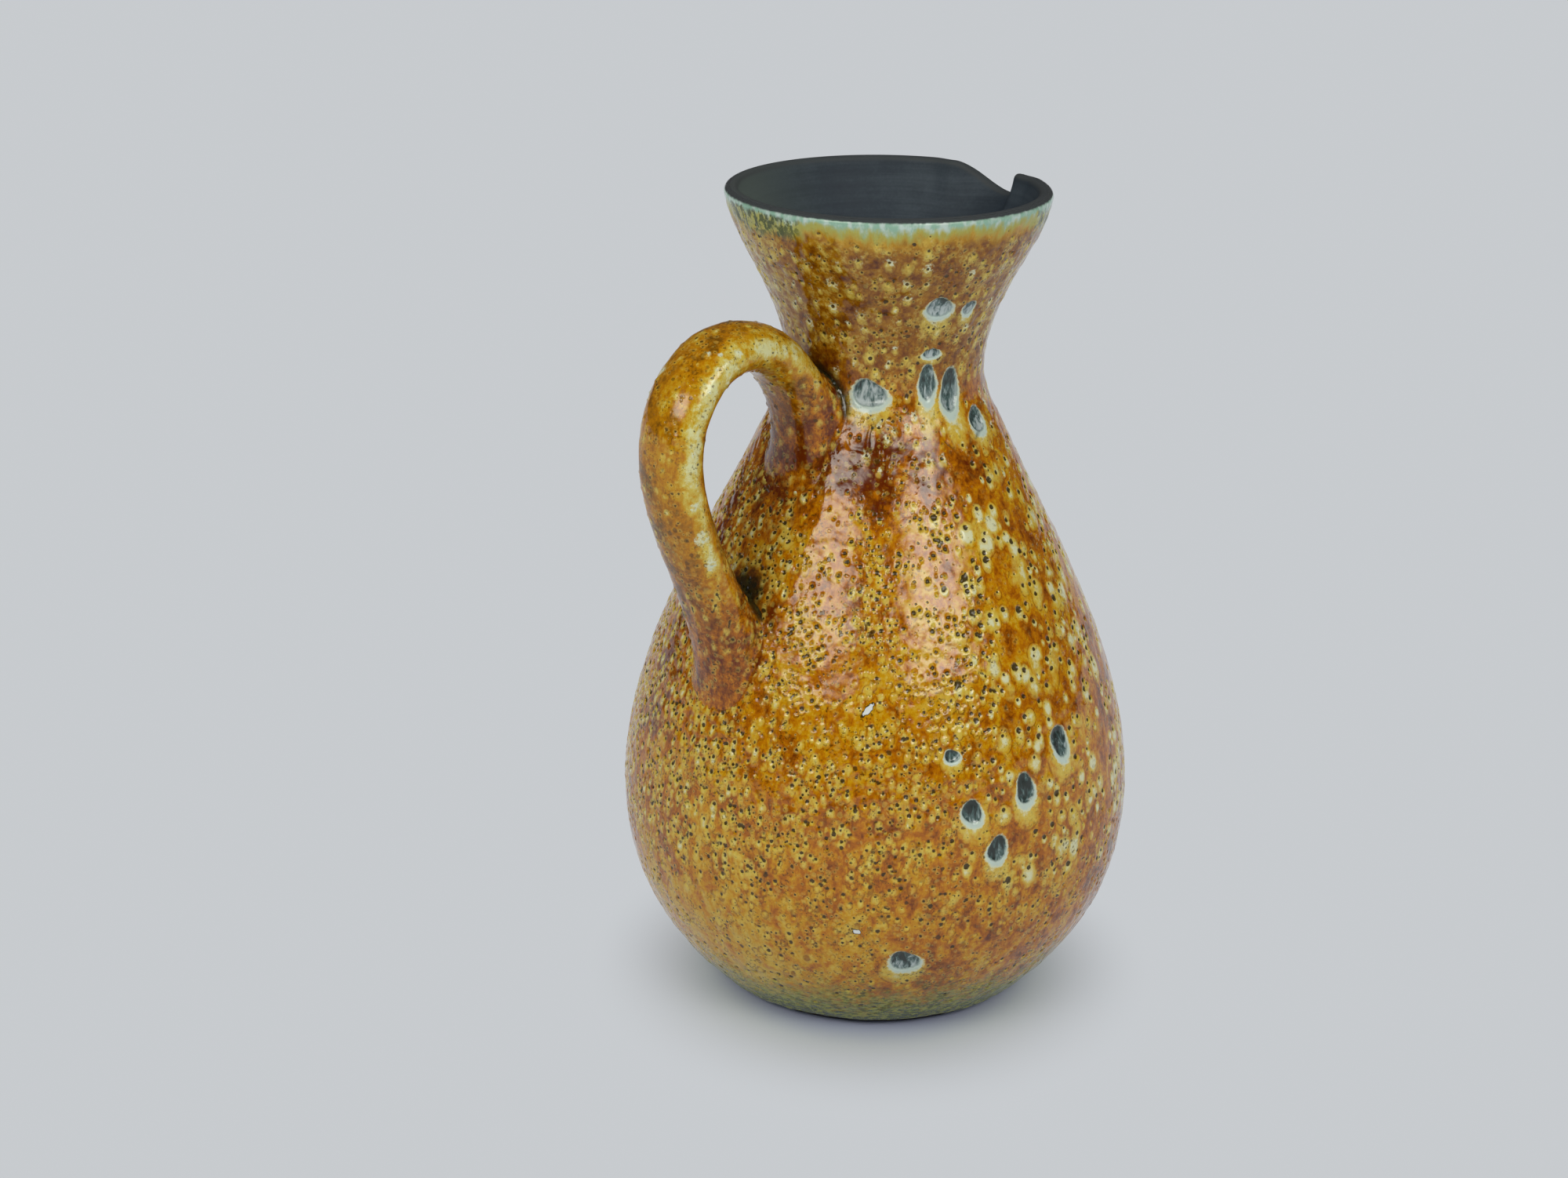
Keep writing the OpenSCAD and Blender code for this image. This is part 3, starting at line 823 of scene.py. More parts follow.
def make_handle_coat():
    """Glaze sleeve of the handle, run out thin onto the body at both roots."""
    outside = handle_rings(GLAZE_WALL - COAT_SINK, HANDLE_STEP)
    normals = grid_normals(outside)
    handle = Skin(outside, normals)
    around = np.cos(oval_turn)[None, :]
    from_top = np.arange(len(outside))[:, None]
    from_low = from_top[::-1]
    ends = np.minimum(from_top, from_low)
    # Band along both flanks of the loop, towards its outer side: paler honey glaze with mint dots, and a
    # painted highlight
    edge = smooth(np.abs(around - 0.22), 0.7, 0.12) + 0 * ends
    free = smooth(ends, 18, 46) + 0 * around
    mark_handle(handle, edge, free)
    uneven = 0.2 * (lattice_noise(outside, 7, 50) - 0.5) + 0.18 * (lattice_noise(outside, 2.4, 5) - 0.5)
    sink = np.clip((uneven + handle.dent) * smooth(ends, 0, 6), -0.16, 0.8)
    shown = outside - normals * sink[..., None]
    back = handle_rings(BACK_GROWTH, BACK_STEP)[::-1]
    # Creases where the handle's roots meet the body, darkened with painted shade and dark glaze
    upper_crease_shade = smooth(from_top, 22, 2) * smooth(around, -0.4, 0.6)
    lower_crease_shade = smooth(from_low, 34, 4) * smooth(-around, 0.1, 0.9)
    low_limb = 0.4 * smooth(from_top / len(outside), 0.55, 0.8)
    brown = np.maximum(brown_share(outside) * (1 - free), low_limb)
    return make_coat("handle_coat", shown, back, {
        "marks": (handle.pit, handle.halo, handle.glow),
        "bursts": (handle.crater, handle.rim, np.maximum(upper_crease_shade, lower_crease_shade)),
        "zones": (brown, 0 * brown, 0 * brown),
        "spots": (handle.white, 1 - 0.3 * free, free * edge),
        "blend": (free, handle.pool, 0 * free),
    })


# Lining

LINING_COLUMNS = 256
LINING_STEP = 1.2
FLOOR_RINGS = 14
BEND_RINGS = 12
# Height where the wall's points start, and radius of the smallest ring on the floor
WALL_START_Z = 4
FLOOR_MIDDLE = 0.5
# Gaps between the hidden back and the clay, on the wall and at the rim, and the step between its rings
LINING_GAP = 0.02
RIM_GAP = 0.05
LINING_BACK_STEP = 5
# Steps across the clay's rim, and how many of them the hidden back covers
BACK_CROWN_STEPS = 10
BACK_CROWN_COVERED = 6
# Columns are drawn together towards the lip by this much
LIP_CROWDING = 0.4
# Angle of the middle and half width of the lighter, greener side, where light on the inner wall is painted
LIT_GREEN_TURN = 132
LIT_GREEN_WIDE = 66


def inner_profile(depth_more, step):
    """Radius and height from the middle of the floor up the inner wall to the rim."""
    floor_z = FLOOR_WALL + depth_more
    z = even_heights(WALL_START_Z, RIM_Z, step)
    radius, level = skin(z, clay_depth(z) + depth_more)
    wall = level > floor_z + FLOOR_ROUND
    corner_r = np.interp(floor_z, level, radius)
    wall_start = np.array([radius[wall][0], level[wall][0]])
    corner = np.array([corner_r, floor_z])
    floor_end = np.array([corner_r - FLOOR_ROUND, floor_z])
    t = np.linspace(0, 1, BEND_RINGS, endpoint=False)[:, None]
    bend = floor_end * (1 - t) ** 2 + corner * 2 * t * (1 - t) + wall_start * t * t
    flat_r = np.linspace(FLOOR_MIDDLE, floor_end[0], FLOOR_RINGS, endpoint=False)
    flat = np.stack([flat_r, np.full(FLOOR_RINGS, floor_z)], -1)
    return np.concatenate([flat, bend, np.stack([radius[wall], level[wall]], -1)])


def make_lining():
    """Dark lining of the whole inside, turned over the inner half of the rim."""
    inside = inner_profile(LINING_WALL, LINING_STEP)
    shown = np.concatenate([inside, rim_profile(True)])
    back_depth = clay_depth(RIM_Z) + RIM_GAP
    clay_rim = crown(back_depth, GLAZE_WALL, RIM_CROWN - LINING_WALL, BACK_FULLNESS, BACK_CROWN_STEPS)
    covered = clay_rim[:BACK_CROWN_COVERED]
    back = np.concatenate([covered[::-1], inner_profile(LINING_GAP, LINING_BACK_STEP)[::-1]])
    profile = np.concatenate([shown, back])
    angle = ring_angles(LINING_COLUMNS)
    angle = angle - LIP_CROWDING * np.sin(angle)
    rings = poured(profile[:, :1], profile[:, 1:], angle[None, :])
    faces = ring_faces(len(rings), LINING_COLUMNS)
    piece = add_piece("lining", rings.reshape(-1, 3), faces[:, ::-1])
    ring = smooth(np.arange(len(shown)), len(inside) - 2, len(inside) + 3)[:, None] + 0 * angle
    # Lighter greenish side of the inside: painted light
    green = hump(angle_off(np.degrees(angle), LIT_GREEN_TURN), LIT_GREEN_WIDE) + 0 * ring
    add_fields(piece, "zones", (ring, green, 0 * ring))
    return piece


# Materials

class Nodes:
    """Builds the nodes of a material, lamp or world with short calls."""

    def __init__(self, owner):
        owner.use_nodes = True
        self.owner = owner
        self.tree = owner.node_tree
        self.shader = self.tree.nodes.get("Principled BSDF")

    def put(self, value, socket):
        """Links a socket, or sets a plain value."""
        if isinstance(value, bpy.types.NodeSocket):
            self.tree.links.new(value, socket)
        else:
            socket.default_value = value

    def add(self, kind, inputs=(), **settings):
        """New node with its settings, and its inputs linked or set."""
        node = self.tree.nodes.new(kind)
        for key, value in settings.items():
            setattr(node, key, value)
        for key, value in dict(inputs).items():
            self.put(value, node.inputs[key])
        return node

    def math(self, operation, *values):
        return self.add("ShaderNodeMath", enumerate(values), operation=operation).outputs[0]

    def sum(self, *terms):
        """Weighted sum of (value, weight) pairs."""
        total = 0.0
        for value, weight in terms:
            total = self.math("MULTIPLY_ADD", value, weight, total)
        return total

    def times(self, *values):
        total = values[0]
        for value in values[1:]:
            total = self.math("MULTIPLY", total, value)
        return total

    def step(self, value, low, high):
        """Smooth step from 0 at low to 1 at high."""
        inputs = {"Value": value, "From Min": low, "From Max": high}
        return self.add("ShaderNodeMapRange", inputs, interpolation_type="SMOOTHSTEP").outputs["Result"]

    def fall(self, value, low, high):
        """Smooth step from 1 at low to 0 at high."""
        return self.math("SUBTRACT", 1.0, self.step(value, low, high))

    def mix(self, share, first, second):
        """Colour between two colours."""
        inputs = {"Factor": share}
        for socket, value in ((6, first), (7, second)):
            inputs[socket] = value if isinstance(value, bpy.types.NodeSocket) else (*value, 1)
        return self.add("ShaderNodeMix", inputs, data_type="RGBA").outputs[2]

    def lay(self, colour, over, *shares):
        """Colour with another laid over it by the product of some shares."""
        return self.mix(self.times(*shares), colour, over)

    def ramp(self, value, stops):
        """Colour from a value by (place, colour) stops."""
        node = self.add("ShaderNodeValToRGB", {"Fac": value})
        points = node.color_ramp.elements
        while len(points) < len(stops):
            points.new(0.5)
        for point, (place, colour) in zip(points, stops):
            point.position = place
            point.color = (*colour, 1)
        return node.outputs["Color"]

    def place(self, scale=(1, 1, 1)):
        """Point on the object in millimetres, scaled along each axis."""
        source = self.add("ShaderNodeTexCoord").outputs["Object"]
        inputs = {0: source, 1: [value / MM for value in scale]}
        return self.add("ShaderNodeVectorMath", inputs, operation="MULTIPLY").outputs[0]

    def warped(self, size, amount):
        """Point on the object in millimetres, shaken by noise."""
        place = self.place()
        noise = self.add("ShaderNodeTexNoise", {"Vector": place, "Scale": 1 / size}).outputs["Color"]
        inputs = {0: noise, 1: (amount, amount, amount), 2: place}
        return self.add("ShaderNodeVectorMath", inputs, operation="MULTIPLY_ADD").outputs[0]

    def noise(self, size, detail=2.0, roughness=0.5, distortion=0.0, scale=(1, 1, 1)):
        """Noise whose lumps are about one size across, in millimetres, along an axis of scale 1."""
        return self.add("ShaderNodeTexNoise", {
            "Vector": self.place(scale),
            "Scale": 1 / size,
            "Detail": detail,
            "Roughness": roughness,
            "Distortion": distortion,
        }).outputs["Fac"]

    def cells(self, place, size):
        """Distance from the middle and random value of cells about one size across."""
        node = self.add("ShaderNodeTexVoronoi", {"Vector": place, "Scale": 1 / size})
        return node.outputs["Distance"], node.outputs["Color"]

    def stored(self, name):
        """The three values stored at the points under a name."""
        node = self.add("ShaderNodeAttribute", attribute_name=name)
        return self.add("ShaderNodeSeparateXYZ", {0: node.outputs["Vector"]}).outputs

    def bump(self, height, distance, strength):
        """Relief of a height field, as deep as distance in millimetres."""
        node = self.add("ShaderNodeBump", {"Height": height, "Distance": distance * MM, "Strength": strength})
        self.put(node.outputs["Normal"], self.shader.inputs["Normal"])

    def finish(self, colour, roughness):
        self.put(colour, self.shader.inputs["Base Color"])
        self.put(roughness, self.shader.inputs["Roughness"])
        return self.owner


# Colours of the glaze, as linear red, green and blue
OXBLOOD = (0.12, 0.018, 0.001)
DEEP_BROWN = (0.21, 0.055, 0.001)
GOLDEN = (0.55, 0.282, 0.004)
TAN = (0.60, 0.385, 0.045)
CREAM = (0.63, 0.49, 0.085)
PALE = (0.67, 0.68, 0.46)
EYE = (0.50, 0.46, 0.16)
LIME = (0.36, 0.39, 0.09)
PIT_DARK = (0.042, 0.022, 0.002)
PIT_BROWN = (0.075, 0.030, 0.002)
PEPPER = (0.08, 0.028, 0.001)
SLATE = (0.024, 0.031, 0.028)
SLATE_TEAL = (0.075, 0.125, 0.120)
SLATE_PALE = (0.44, 0.50, 0.50)
MINT = (0.25, 0.44, 0.35)
MINT_WHITE = (0.50, 0.62, 0.59)
CHIP_WHITE = (0.70, 0.72, 0.70)
MOSS = (0.028, 0.048, 0.006)
# Near-black of the creases, which stands for dark glaze and for painted shade at the handle's roots
CREASE_GLAZE_AND_SHADE = (0.012, 0.015, 0.006)
FOOT_GREEN = (0.050, 0.082, 0.006)
FOOT_TEAL = (0.31, 0.33, 0.055)
FOOT_DARK = (0.045, 0.085, 0.050)

# Tones of the plain glaze from where it is thickest to where it is palest
BODY_TONES = (
    (0.0, OXBLOOD), (0.18, DEEP_BROWN), (0.36, (0.36, 0.100, 0.001)), (0.54, (0.48, 0.174, 0.001)),
    (0.74, GOLDEN), (1.0, TAN),
)
NECK_TONES = (
    (0.0, (0.085, 0.017, 0.001)), (0.3, (0.20, 0.062, 0.001)), (0.6, (0.34, 0.145, 0.003)),
    (1.0, (0.55, 0.41, 0.09)),
)
HANDLE_TONES = (
    (0.0, (0.16, 0.065, 0.002)), (0.2, (0.29, 0.115, 0.002)), (0.4, (0.44, 0.170, 0.001)),
    (0.6, (0.51, 0.27, 0.006)), (0.8, (0.57, 0.43, 0.07)), (1.0, (0.65, 0.63, 0.32)),
)

# Colours of the lining and of the bare clay and slip
LINING_TONES = (
    (0.3, (0.016, 0.0245, 0.039)), (0.5, (0.028, 0.041, 0.058)), (0.7, (0.054, 0.072, 0.092)),
)
LINING_LIT_GREEN = (0.125, 0.155, 0.135)
RIM_GREY = (0.054, 0.060, 0.063)
CLAY_COLOURS = ((0.022, 0.019, 0.018), (0.050, 0.042, 0.037))
SLIP_COLOURS = ((0.12, 0.10, 0.08), (0.20, 0.17, 0.14))

# How strongly the glaze and the lining shine
GLAZE_SHINE = 0.5
LINING_SHINE = 0.35


def ragged(n, value, size, amount):
    """Roughens the outline of a field."""
    shift = n.math("MULTIPLY_ADD", n.noise(size, 3, 0.6), 2 * amount, -amount)
    return n.math("ADD", value, shift)


def glaze_tone(n, zones, spots, glow, grain_weight):
    """Mottling of the plain glaze: high near the pits, low between them and where it ran thick."""
    drip = n.noise(5.0, 5, 0.68, 0.4, (1, 1, 0.6))
    blotch = n.noise(22.0, 3, 0.5, scale=(1, 1, 0.7))
    grain = n.noise(1.5, 4, 0.68)
    tone = n.sum((drip, 1.95), (blotch, 0.6), (grain, grain_weight), (glow, 0.22))
    # zones[0] is partly painted light, and spots[2], the handle's pale band, is partly a painted highlight
    return n.sum((zones[0], -0.45), (spots[2], 0.55), (tone, 1.0), (1.0, -0.83 - 0.5 * grain_weight))


def body_base(n, zones, spots, glow):
    """Amber tones on the belly, which turn into finer, browner mottling on the neck."""
    tone = glaze_tone(n, zones, spots, glow, 0.95)
    mottle = n.sum((n.noise(3.0, 4, 0.65), 2.1), (n.noise(9.0), 0.8), (glow, 0.15))
    neck = n.ramp(n.sum((mottle, 1.0), (zones[0], -0.4), (1.0, -0.89)), NECK_TONES)
    return n.mix(n.stored("blend")[0], n.ramp(tone, BODY_TONES), neck)


def handle_base(n, zones, spots, glow):
    """Honey tones along the loop, which turn into the body's tones at the roots."""
    tone = glaze_tone(n, zones, spots, glow, 1.2)
    stain = n.times(n.step(n.noise(8.0, 4, 0.7), 0.5, 0.68), n.fall(spots[2], 0.1, 0.9))
    honey = n.ramp(n.sum((stain, -0.36), (tone, 0.75), (1.0, 0.08)), HANDLE_TONES)
    return n.mix(n.stored("blend")[0], n.ramp(tone, BODY_TONES), honey)


def pinholes(n, size, radius):
    """Share of a pinhole, from 1 in its middle to 0 at its edge and below 0 round it."""
    distance, tint = n.cells(n.warped(0.9, 0.9), size)
    reach = n.math("MULTIPLY", tint, radius / size)
    return n.math("SUBTRACT", 1.0, n.math("DIVIDE", distance, n.math("MAXIMUM", reach, 0.001)))


def add_pinholes(n, colour, holes, clusters, spots):
    """Tiny dark pinholes and pepper in patches between the pits, and clusters of larger pinholes."""
    often = n.math("MULTIPLY_ADD", spots[1], 0.5, 0.5)
    crowds = n.step(n.noise(6.0), 0.44, 0.6)
    grit = n.step(n.noise(0.85, 3, 0.6), 0.525, 0.645)
    colour = n.lay(colour, PEPPER, grit, crowds, often, 0.8)
    patch = n.times(n.step(n.noise(9.0), 0.38, 0.56), often)
    colour = n.lay(colour, CREAM, n.step(holes, -1.3, -0.5), patch, 0.3)
    colour = n.lay(colour, PIT_DARK, n.step(holes, 0.0, 0.35), patch)
    return n.lay(colour, PIT_BROWN, n.step(clusters, 0.0, 0.3), spots[1], 0.9)


def add_halos(n, colour, halo):
    """Pale clouds round and below the pits."""
    rough = n.math("ADD", n.noise(1.8, 4, 0.62, scale=(1, 1, 0.8)), -0.5)
    value = n.math("ADD", halo, n.times(rough, n.step(halo, 0.0, 0.25), 1.5))
    colour = n.lay(colour, CREAM, n.step(value, 0.02, 0.72), 0.8)
    return n.lay(colour, PALE, n.step(value, 0.58, 1.02), 0.9)


def add_edges(n, colour, halo, strength):
    """Broken brown line where a halo ends."""
    line = n.times(n.step(halo, 0.005, 0.05), n.fall(halo, 0.06, 0.2))
    return n.lay(colour, DEEP_BROWN, line, n.step(n.noise(2.2), 0.4, 0.56), strength)


def add_pits(n, colour, pit, halo):
    """Dark bottoms of the small pits, with a pale ring where there is a halo."""
    edge = ragged(n, pit, 0.8, 0.42)
    colour = n.lay(colour, CREAM, n.step(edge, -0.9, -0.35), n.step(halo, 0.1, 0.4), 0.45)
    return n.lay(colour, PIT_DARK, n.step(edge, -0.02, 0.24), 0.96)


def add_craters(n, colour, crater, rim, pool, pit):
    """Streaks of slate, teal and pale grey at the bottom, inside a mint rim that turns cream outside."""
    edge = ragged(n, rim, 1.1, 0.2)
    ring = n.ramp(edge, ((0.0, EYE), (0.09, PALE), (0.22, MINT_WHITE)))
    shown = n.times(n.step(edge, 0.0, 0.13), n.step(rim, -0.05, 0.02), n.fall(pit, -0.1, 0.15))
    colour = n.lay(colour, ring, shown, 0.88)
    streak = n.noise(1.5, 3, 0.6, 0.5, (1, 1, 0.3))
    # The bottom is paler where glaze pooled low, and darker towards the top and one side as painted shade
    pale = n.step(n.sum((streak, 2.2), (pool, 0.75)), 0.95, 1.85)
    bottom = n.ramp(pale, ((0.0, SLATE), (0.4, SLATE_TEAL), (1.0, SLATE_PALE)))
    inside = ragged(n, crater, 0.8, 0.1)
    colour = n.lay(colour, bottom, n.step(inside, 0.0, 0.1))
    return n.lay(colour, SLATE_TEAL, n.step(inside, -0.06, 0.0), n.fall(inside, 0.04, 0.14), 0.4)


def add_foot_band(n, colour, foot):
    """Green band above the foot, breaking into flecks at its upper edge."""
    flecks = n.noise(1.5, 4, 0.7, scale=(0.6, 0.6, 1.2))
    value = n.sum((foot, 1.0), (flecks, 1.2), (n.noise(12.0), 0.5))
    mottle = n.noise(1.3, 3, 0.7, scale=(0.6, 0.6, 1.3))
    green = n.mix(n.step(mottle, 0.38, 0.62), FOOT_GREEN, FOOT_TEAL)
    green = n.lay(green, FOOT_DARK, n.step(value, 1.5, 1.85), n.fall(mottle, 0.44, 0.62), 0.6)
    return n.lay(colour, green, n.step(value, 1.0, 1.66), 0.95)


def add_lip_band(n, colour, lip, mossy):
    """Turquoise edge of the rim, breaking into green and golden runs below, under a dark crown."""
    runs = n.noise(2.4, 3, 0.6, scale=(1, 1, 0.3))
    patches = n.noise(13.0, scale=(1, 1, 0.5))
    value = n.sum((lip, 1.0), (runs, 0.6), (patches, 0.5))
    colour = n.lay(colour, GOLDEN, n.step(value, 0.95, 1.35), 0.7)
    limed = n.math("MULTIPLY_ADD", mossy, 0.22, value)
    colour = n.lay(colour, LIME, n.step(limed, 1.18, 1.46), 0.8)
    pale = n.mix(n.step(n.noise(2.2, 3, scale=(1, 1, 0.6)), 0.40, 0.66), MINT, MINT_WHITE)
    colour = n.lay(colour, pale, n.step(value, 1.4, 1.64), 0.92)
    tufts = n.step(n.noise(1.5, 3, 0.65, scale=(1, 1, 0.6)), 0.42, 0.56)
    where = n.step(n.sum((mossy, 0.6), (patches, 0.6)), 0.48, 0.7)
    reach = n.times(n.step(value, 0.95, 1.2), n.fall(value, 1.5, 1.75))
    colour = n.lay(colour, MOSS, tufts, where, reach, 0.9)
    return n.lay(colour, RIM_GREY, n.step(ragged(n, lip, 2.0, 0.12), 1.3, 1.5))


def add_chips(n, colour, white):
    """Ragged chips of white with a dark edge."""
    edge = ragged(n, white, 0.9, 0.6)
    colour = n.lay(colour, PIT_DARK, n.step(edge, 0.12, 0.3), n.step(white, 0.02, 0.1))
    return n.lay(colour, CHIP_WHITE, n.step(edge, 0.38, 0.55))


def glaze_material(name, base, least_roughness, halo_line):
    """Glossy crater glaze over a base colour."""
    n = Nodes(bpy.data.materials.new(name))
    pit, halo, glow = n.stored("marks")
    zones = n.stored("zones")
    spots = n.stored("spots")
    crater, rim, crease = n.stored("bursts")
    pool, mossy = n.stored("blend")[1:]
    small = pinholes(n, 1.8, 0.7)
    often = n.math("MULTIPLY_ADD", n.step(n.noise(10.0), 0.5, 0.62), 3.0, -3.0)
    clusters = n.math("ADD", pinholes(n, 2.2, 1.2), often)
    colour = base(n, zones, spots, glow)
    colour = add_edges(n, colour, halo, halo_line)
    colour = add_halos(n, colour, halo)
    colour = add_pinholes(n, colour, small, clusters, spots)
    colour = add_foot_band(n, colour, zones[1])
    colour = add_lip_band(n, colour, zones[2], mossy)
    colour = add_pits(n, colour, pit, halo)
    colour = add_craters(n, colour, crater, rim, pool, pit)
    # Dark creases at the neck's joint and the handle's roots, painted shade with dark glaze at the roots
    colour = n.lay(colour, CREASE_GLAZE_AND_SHADE, n.step(ragged(n, crease, 2.0, 0.25), 0.3, 0.85), 0.93)
    colour = add_chips(n, colour, spots[0])
    spread = n.cells(n.place(), 2.4)[0]
    pebbles = n.times(spread, spread, spots[1])
    holes = n.step(n.math("MAXIMUM", small, clusters), -0.2, 0.6)
    n.bump(n.sum((n.noise(1.1, 3, 0.55), 0.45), (holes, -0.9), (pebbles, -0.5)), 0.12, 0.6)
    dull = n.math("MAXIMUM", n.step(pit, 0.1, 0.5), n.times(n.step(crater, 0.0, 0.3), 0.5))
    roughness = n.sum((dull, 0.2), (n.noise(3.0), 0.05), (n.step(zones[1], 0.5, 0.9), 0.2))
    n.shader.inputs["Specular IOR Level"].default_value = GLAZE_SHINE
    return n.finish(colour, n.math("ADD", roughness, least_roughness))


def lining_material(name):
    """Matt slate with faint throwing lines, a lighter greenish side that is painted light, and a grey ring at
    the rim.
    """
    n = Nodes(bpy.data.materials.new(name))
    lines = n.noise(1.6, 3, 0.6, scale=(0.03, 0.03, 1))
    cloud = n.noise(16.0, 5, 0.62)
    grain = n.noise(0.8)
    ring, green = n.stored("zones")[:2]
    colour = n.ramp(n.sum((lines, 0.35), (cloud, 0.5), (grain, 0.15)), LINING_TONES)
    # Painted light: the lighter greenish side of the inside
    colour = n.lay(colour, LINING_LIT_GREEN, green, 0.8)
    colour = n.lay(colour, RIM_GREY, ring, 0.8)
    n.bump(n.sum((lines, 0.7), (grain, 0.3)), 0.12, 0.6)
    n.shader.inputs["Specular IOR Level"].default_value = LINING_SHINE
    return n.finish(colour, n.math("MULTIPLY_ADD", cloud, 0.2, 0.52))


def clay_material(name, dark, light):
    """Bare fired clay with turning lines and fine grit."""
    n = Nodes(bpy.data.materials.new(name))
    grit = n.noise(0.7, 3, 0.7)
    lines = n.noise(1.2, scale=(0.05, 0.05, 1))
    colour = n.mix(n.step(n.sum((grit, 0.5), (n.noise(9.0, 3), 0.5)), 0.35, 0.65), dark, light)
    n.bump(n.sum((grit, 0.6), (lines, 0.4)), 0.15, 0.7)
    return n.finish(colour, n.math("MULTIPLY_ADD", grit, 0.15, 0.75))


def dress(piece, material, slot, *nodes):
    """Gives a new piece its material, puts it under the root body and hides the solids it stands for."""
    piece.data.materials.append(material)
    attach(piece, "root")
    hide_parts(*nodes)


def repaint(material, *names):
    """Gives solids that stay a better material."""
    for name in names:
        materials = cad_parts[name].data.materials
        if materials:
            materials[0] = material
        else:
            materials.append(material)


body_glaze = glaze_material("crater_glaze", body_base, 0.04, 0.7)
handle_glaze = glaze_material("honey_glaze", handle_base, 0.08, 0.05)
dress(make_body_coat(), body_glaze, "glaze", "belly_glaze", "neck_glaze")
dress(make_handle_coat(), handle_glaze, "handle_glaze", "handle_glaze")
dress(make_lining(), lining_material("slate_lining"), "lining", "belly_lining", "neck_lining")
repaint(clay_material("fired_clay", *CLAY_COLOURS), "belly", "neck", "handle")
repaint(clay_material("joining_slip", *SLIP_COLOURS), "neck_slip", "handle_upper_slip", "handle_lower_slip")


# Stage, with sizes in metres

BACKDROP = (0.575, 0.597, 0.62)
FLOOR_COLOUR = (0.64, 0.69, 0.78)
# Painted contact shadow: a darker, bluer floor colour in a ring round the foot
CONTACT_SHADOW_COLOUR = (0.46, 0.50, 0.70)
FLOOR_ROUGHNESS = 0.7
FLOOR_SHINE = 0.2
FLOOR_RADIUS = 9.0
FLOOR_SIDES = 128
# The floor lies this many millimetres below the foot
FLOOR_DROP = 0.05
# The shadow reaches less far to the sides
SIDE_SQUEEZE = 1.18
VIEW_TURN = math.radians(-46)

# Softboxes: angle round the axis and above the level in degrees, width, height, radiance and colour
SOFTBOXES = {
    "left_softbox": (186, 31, 1.5, 0.65, 6.6, (1.0, 0.985, 0.88)),
    "right_softbox": (260, 31, 1.4, 0.65, 7.1, (1.0, 0.99, 0.90)),
}
LAMP_DISTANCE = 1.4
LAMP_AIM = Vector((0, 0, 0.13))
# Width of the fade at a softbox's edges, where 0.5 reaches its middle
EDGE_FADE = 0.42

# The room is dark behind the camera and pale on the other sides
CAMERA_SIDE = (-0.72, -0.69, 0.0)
DARK_SIDE = 0.29
PALE_SIDE = 0.6
GLOSS_SHARE = 0.08
ROOM_COLOUR = (0.97, 0.985, 1.0, 1)


def floor_material():
    """Pale floor with a painted contact shadow round the foot, that keeps the shadow near the jug and is even
    further away.
    """
    n = Nodes(bpy.data.materials.new("pale_floor"))
    squeezed = n.place((SIDE_SQUEEZE * MM, MM, MM))
    spread = n.add("ShaderNodeVectorMath", {0: squeezed}, operation="LENGTH").outputs["Value"]
    # The floor's colour is painted darker round the foot as a contact shadow
    n.finish(n.mix(n.step(spread, 0.046, 0.064), CONTACT_SHADOW_COLOUR, FLOOR_COLOUR), FLOOR_ROUGHNESS)
    n.shader.inputs["Specular IOR Level"].default_value = FLOOR_SHINE
    rays = n.add("ShaderNodeLightPath").outputs
    mirrored = n.math("MAXIMUM", rays["Is Glossy Ray"], rays["Is Transmission Ray"])
    seen = n.math("MAXIMUM", rays["Is Camera Ray"], mirrored)
    even = n.add("ShaderNodeEmission", {"Color": (*BACKDROP, 1)}).outputs[0]
    share = n.times(n.step(spread, 0.047, 0.108), seen)
    blend = n.add("ShaderNodeMixShader", {0: share, 1: n.shader.outputs[0], 2: even})
    n.put(blend.outputs[0], n.tree.nodes["Material Output"].inputs["Surface"])
    return n.owner


def make_floor():
    turn = ring_angles(FLOOR_SIDES)
    edge = np.stack([np.cos(turn), np.sin(turn), 0 * turn], -1) * FLOOR_RADIUS / MM
    floor = add_piece("floor", edge - np.array([0, 0, FLOOR_DROP]), [list(range(FLOOR_SIDES))])
    floor.rotation_euler[2] = VIEW_TURN
    floor.data.materials.append(floor_material())


def soften_edges(lamp):
    """Fades a lamp's face towards its edges."""
    n = Nodes(lamp)
    face = n.add("ShaderNodeNewGeometry").outputs["Parametric"]
    sides = n.add("ShaderNodeSeparateXYZ", {0: face}).outputs[:2]
    shares = [n.step(n.math("PINGPONG", side, 0.5), 0.0, EDGE_FADE) for side in sides]
    n.put(n.times(*shares), n.tree.nodes["Emission"].inputs["Strength"])


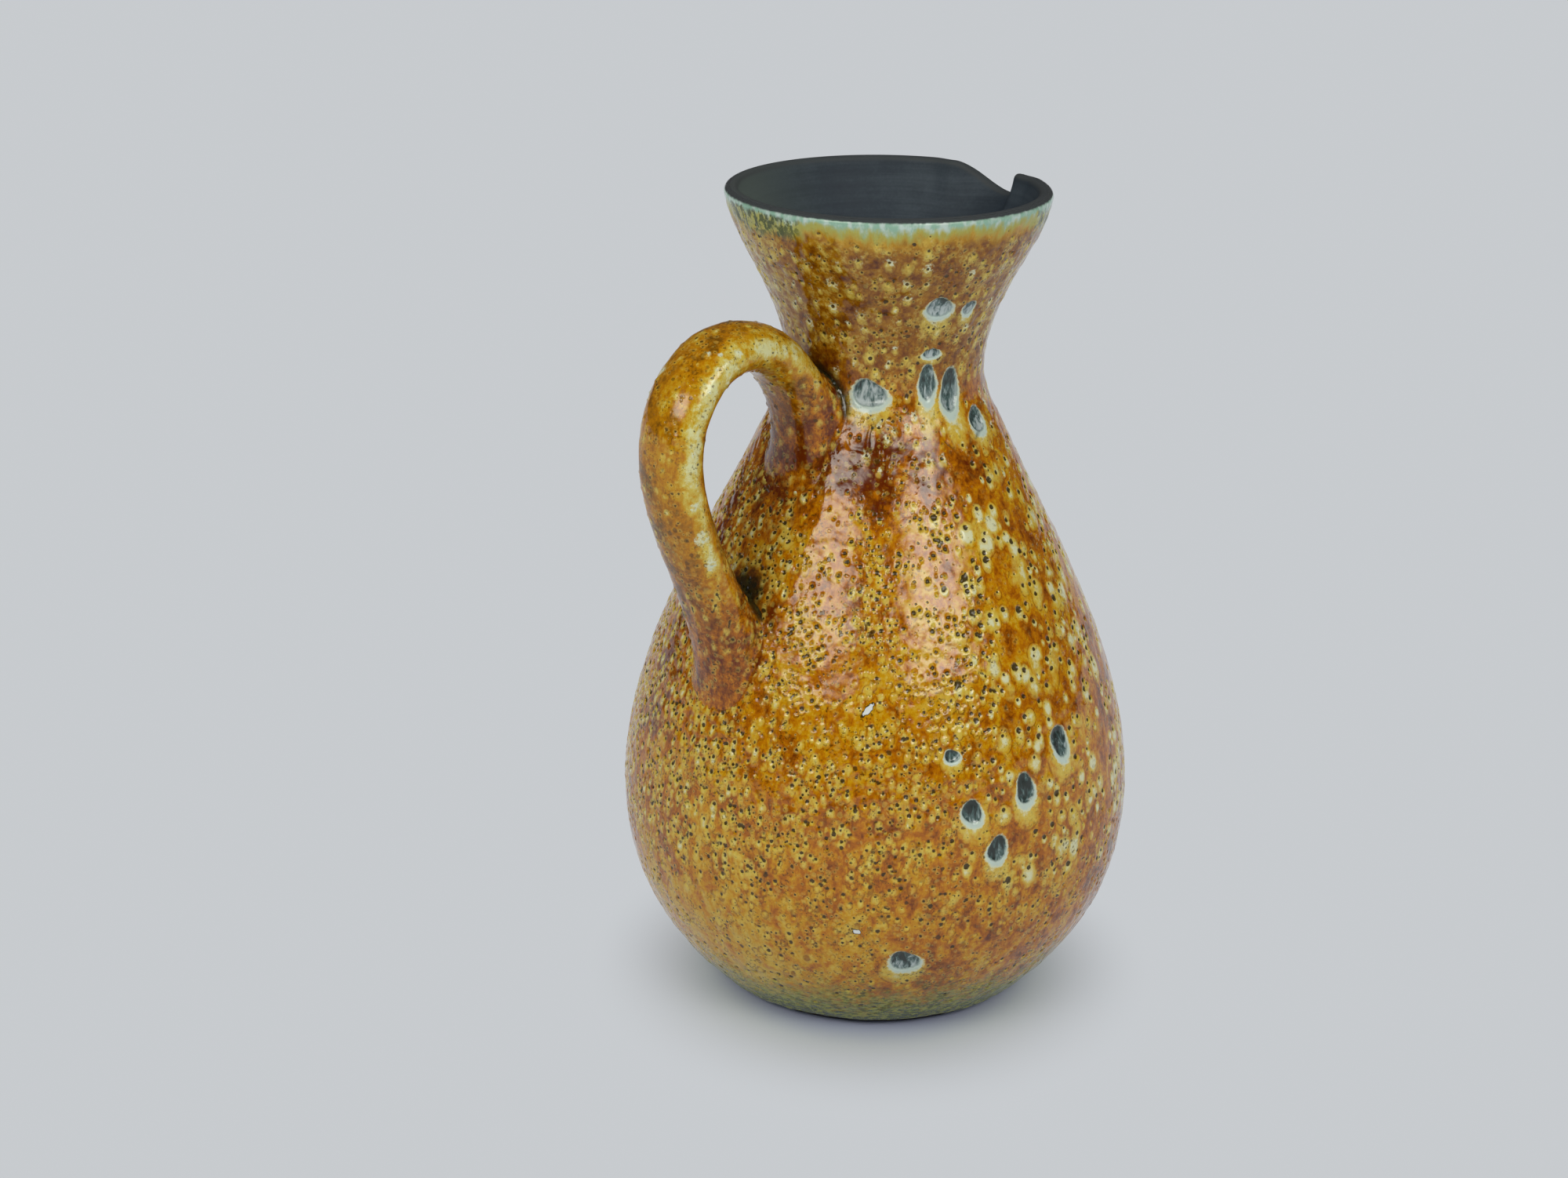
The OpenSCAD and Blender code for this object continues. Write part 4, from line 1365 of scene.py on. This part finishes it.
def add_softbox(name, turn, rise, wide, tall, radiance, colour):
    """Large soft lamp that looks at the jug from an angle round the axis and above the level."""
    lamp = bpy.data.lights.new(name, "AREA")
    lamp.shape = "RECTANGLE"
    lamp.size = wide
    lamp.size_y = tall
    lamp.energy = radiance * math.pi * wide * tall
    lamp.color = colour
    soften_edges(lamp)
    item = bpy.data.objects.new(name, lamp)
    bpy.context.scene.collection.objects.link(item)
    turn, rise = math.radians(turn), math.radians(rise)
    way = Vector((math.cos(rise) * math.cos(turn), math.cos(rise) * math.sin(turn), math.sin(rise)))
    item.location = LAMP_AIM + way * LAMP_DISTANCE
    item.rotation_euler = way.to_track_quat("Z", "Y").to_euler()


def make_world():
    world = bpy.data.worlds.new("studio")
    n = Nodes(world)
    way = n.add("ShaderNodeTexCoord").outputs["Generated"]
    facing = n.add("ShaderNodeVectorMath", {0: way, 1: CAMERA_SIDE}, operation="DOT_PRODUCT")
    towards = n.step(facing.outputs["Value"], -0.35, 0.55)
    level = n.math("MULTIPLY_ADD", towards, DARK_SIDE - PALE_SIDE, PALE_SIDE)
    glossy = n.add("ShaderNodeLightPath").outputs["Is Glossy Ray"]
    share = n.math("MULTIPLY_ADD", glossy, GLOSS_SHARE - 1, 1.0)
    background = n.tree.nodes["Background"].inputs
    background["Color"].default_value = ROOM_COLOUR
    n.put(n.times(level, share), background["Strength"])
    bpy.context.scene.world = world


# Camera, fitted to the outline in the photograph, looking from beside the handle
CAMERA_PLACE = Vector((0.0, -960.14, 448.29)) * MM
CAMERA_YAW = math.radians(-1.743)
CAMERA_PITCH = math.radians(18.641)
CAMERA_ROLL = math.radians(0.832)
CAMERA_LENS = 75.6
SENSOR_WIDTH = 36.0
CLIP_START = 0.05
CLIP_END = 30


def make_camera():
    data = bpy.data.cameras.new("camera")
    data.lens = CAMERA_LENS
    data.sensor_width = SENSOR_WIDTH
    data.clip_start = CLIP_START
    data.clip_end = CLIP_END
    camera = bpy.data.objects.new("camera", data)
    camera.matrix_world = (
        Matrix.Rotation(VIEW_TURN, 4, "Z")
        @ Matrix.Translation(CAMERA_PLACE)
        @ Matrix.Rotation(-CAMERA_YAW, 4, "Z")
        @ Matrix.Rotation(math.pi / 2 - CAMERA_PITCH, 4, "X")
        @ Matrix.Rotation(CAMERA_ROLL, 4, "Z")
    )
    bpy.context.scene.collection.objects.link(camera)
    bpy.context.scene.camera = camera


make_floor()
for softbox, values in SOFTBOXES.items():
    add_softbox(softbox, *values)
make_world()
make_camera()
bpy.context.scene.view_settings.view_transform = "Standard"
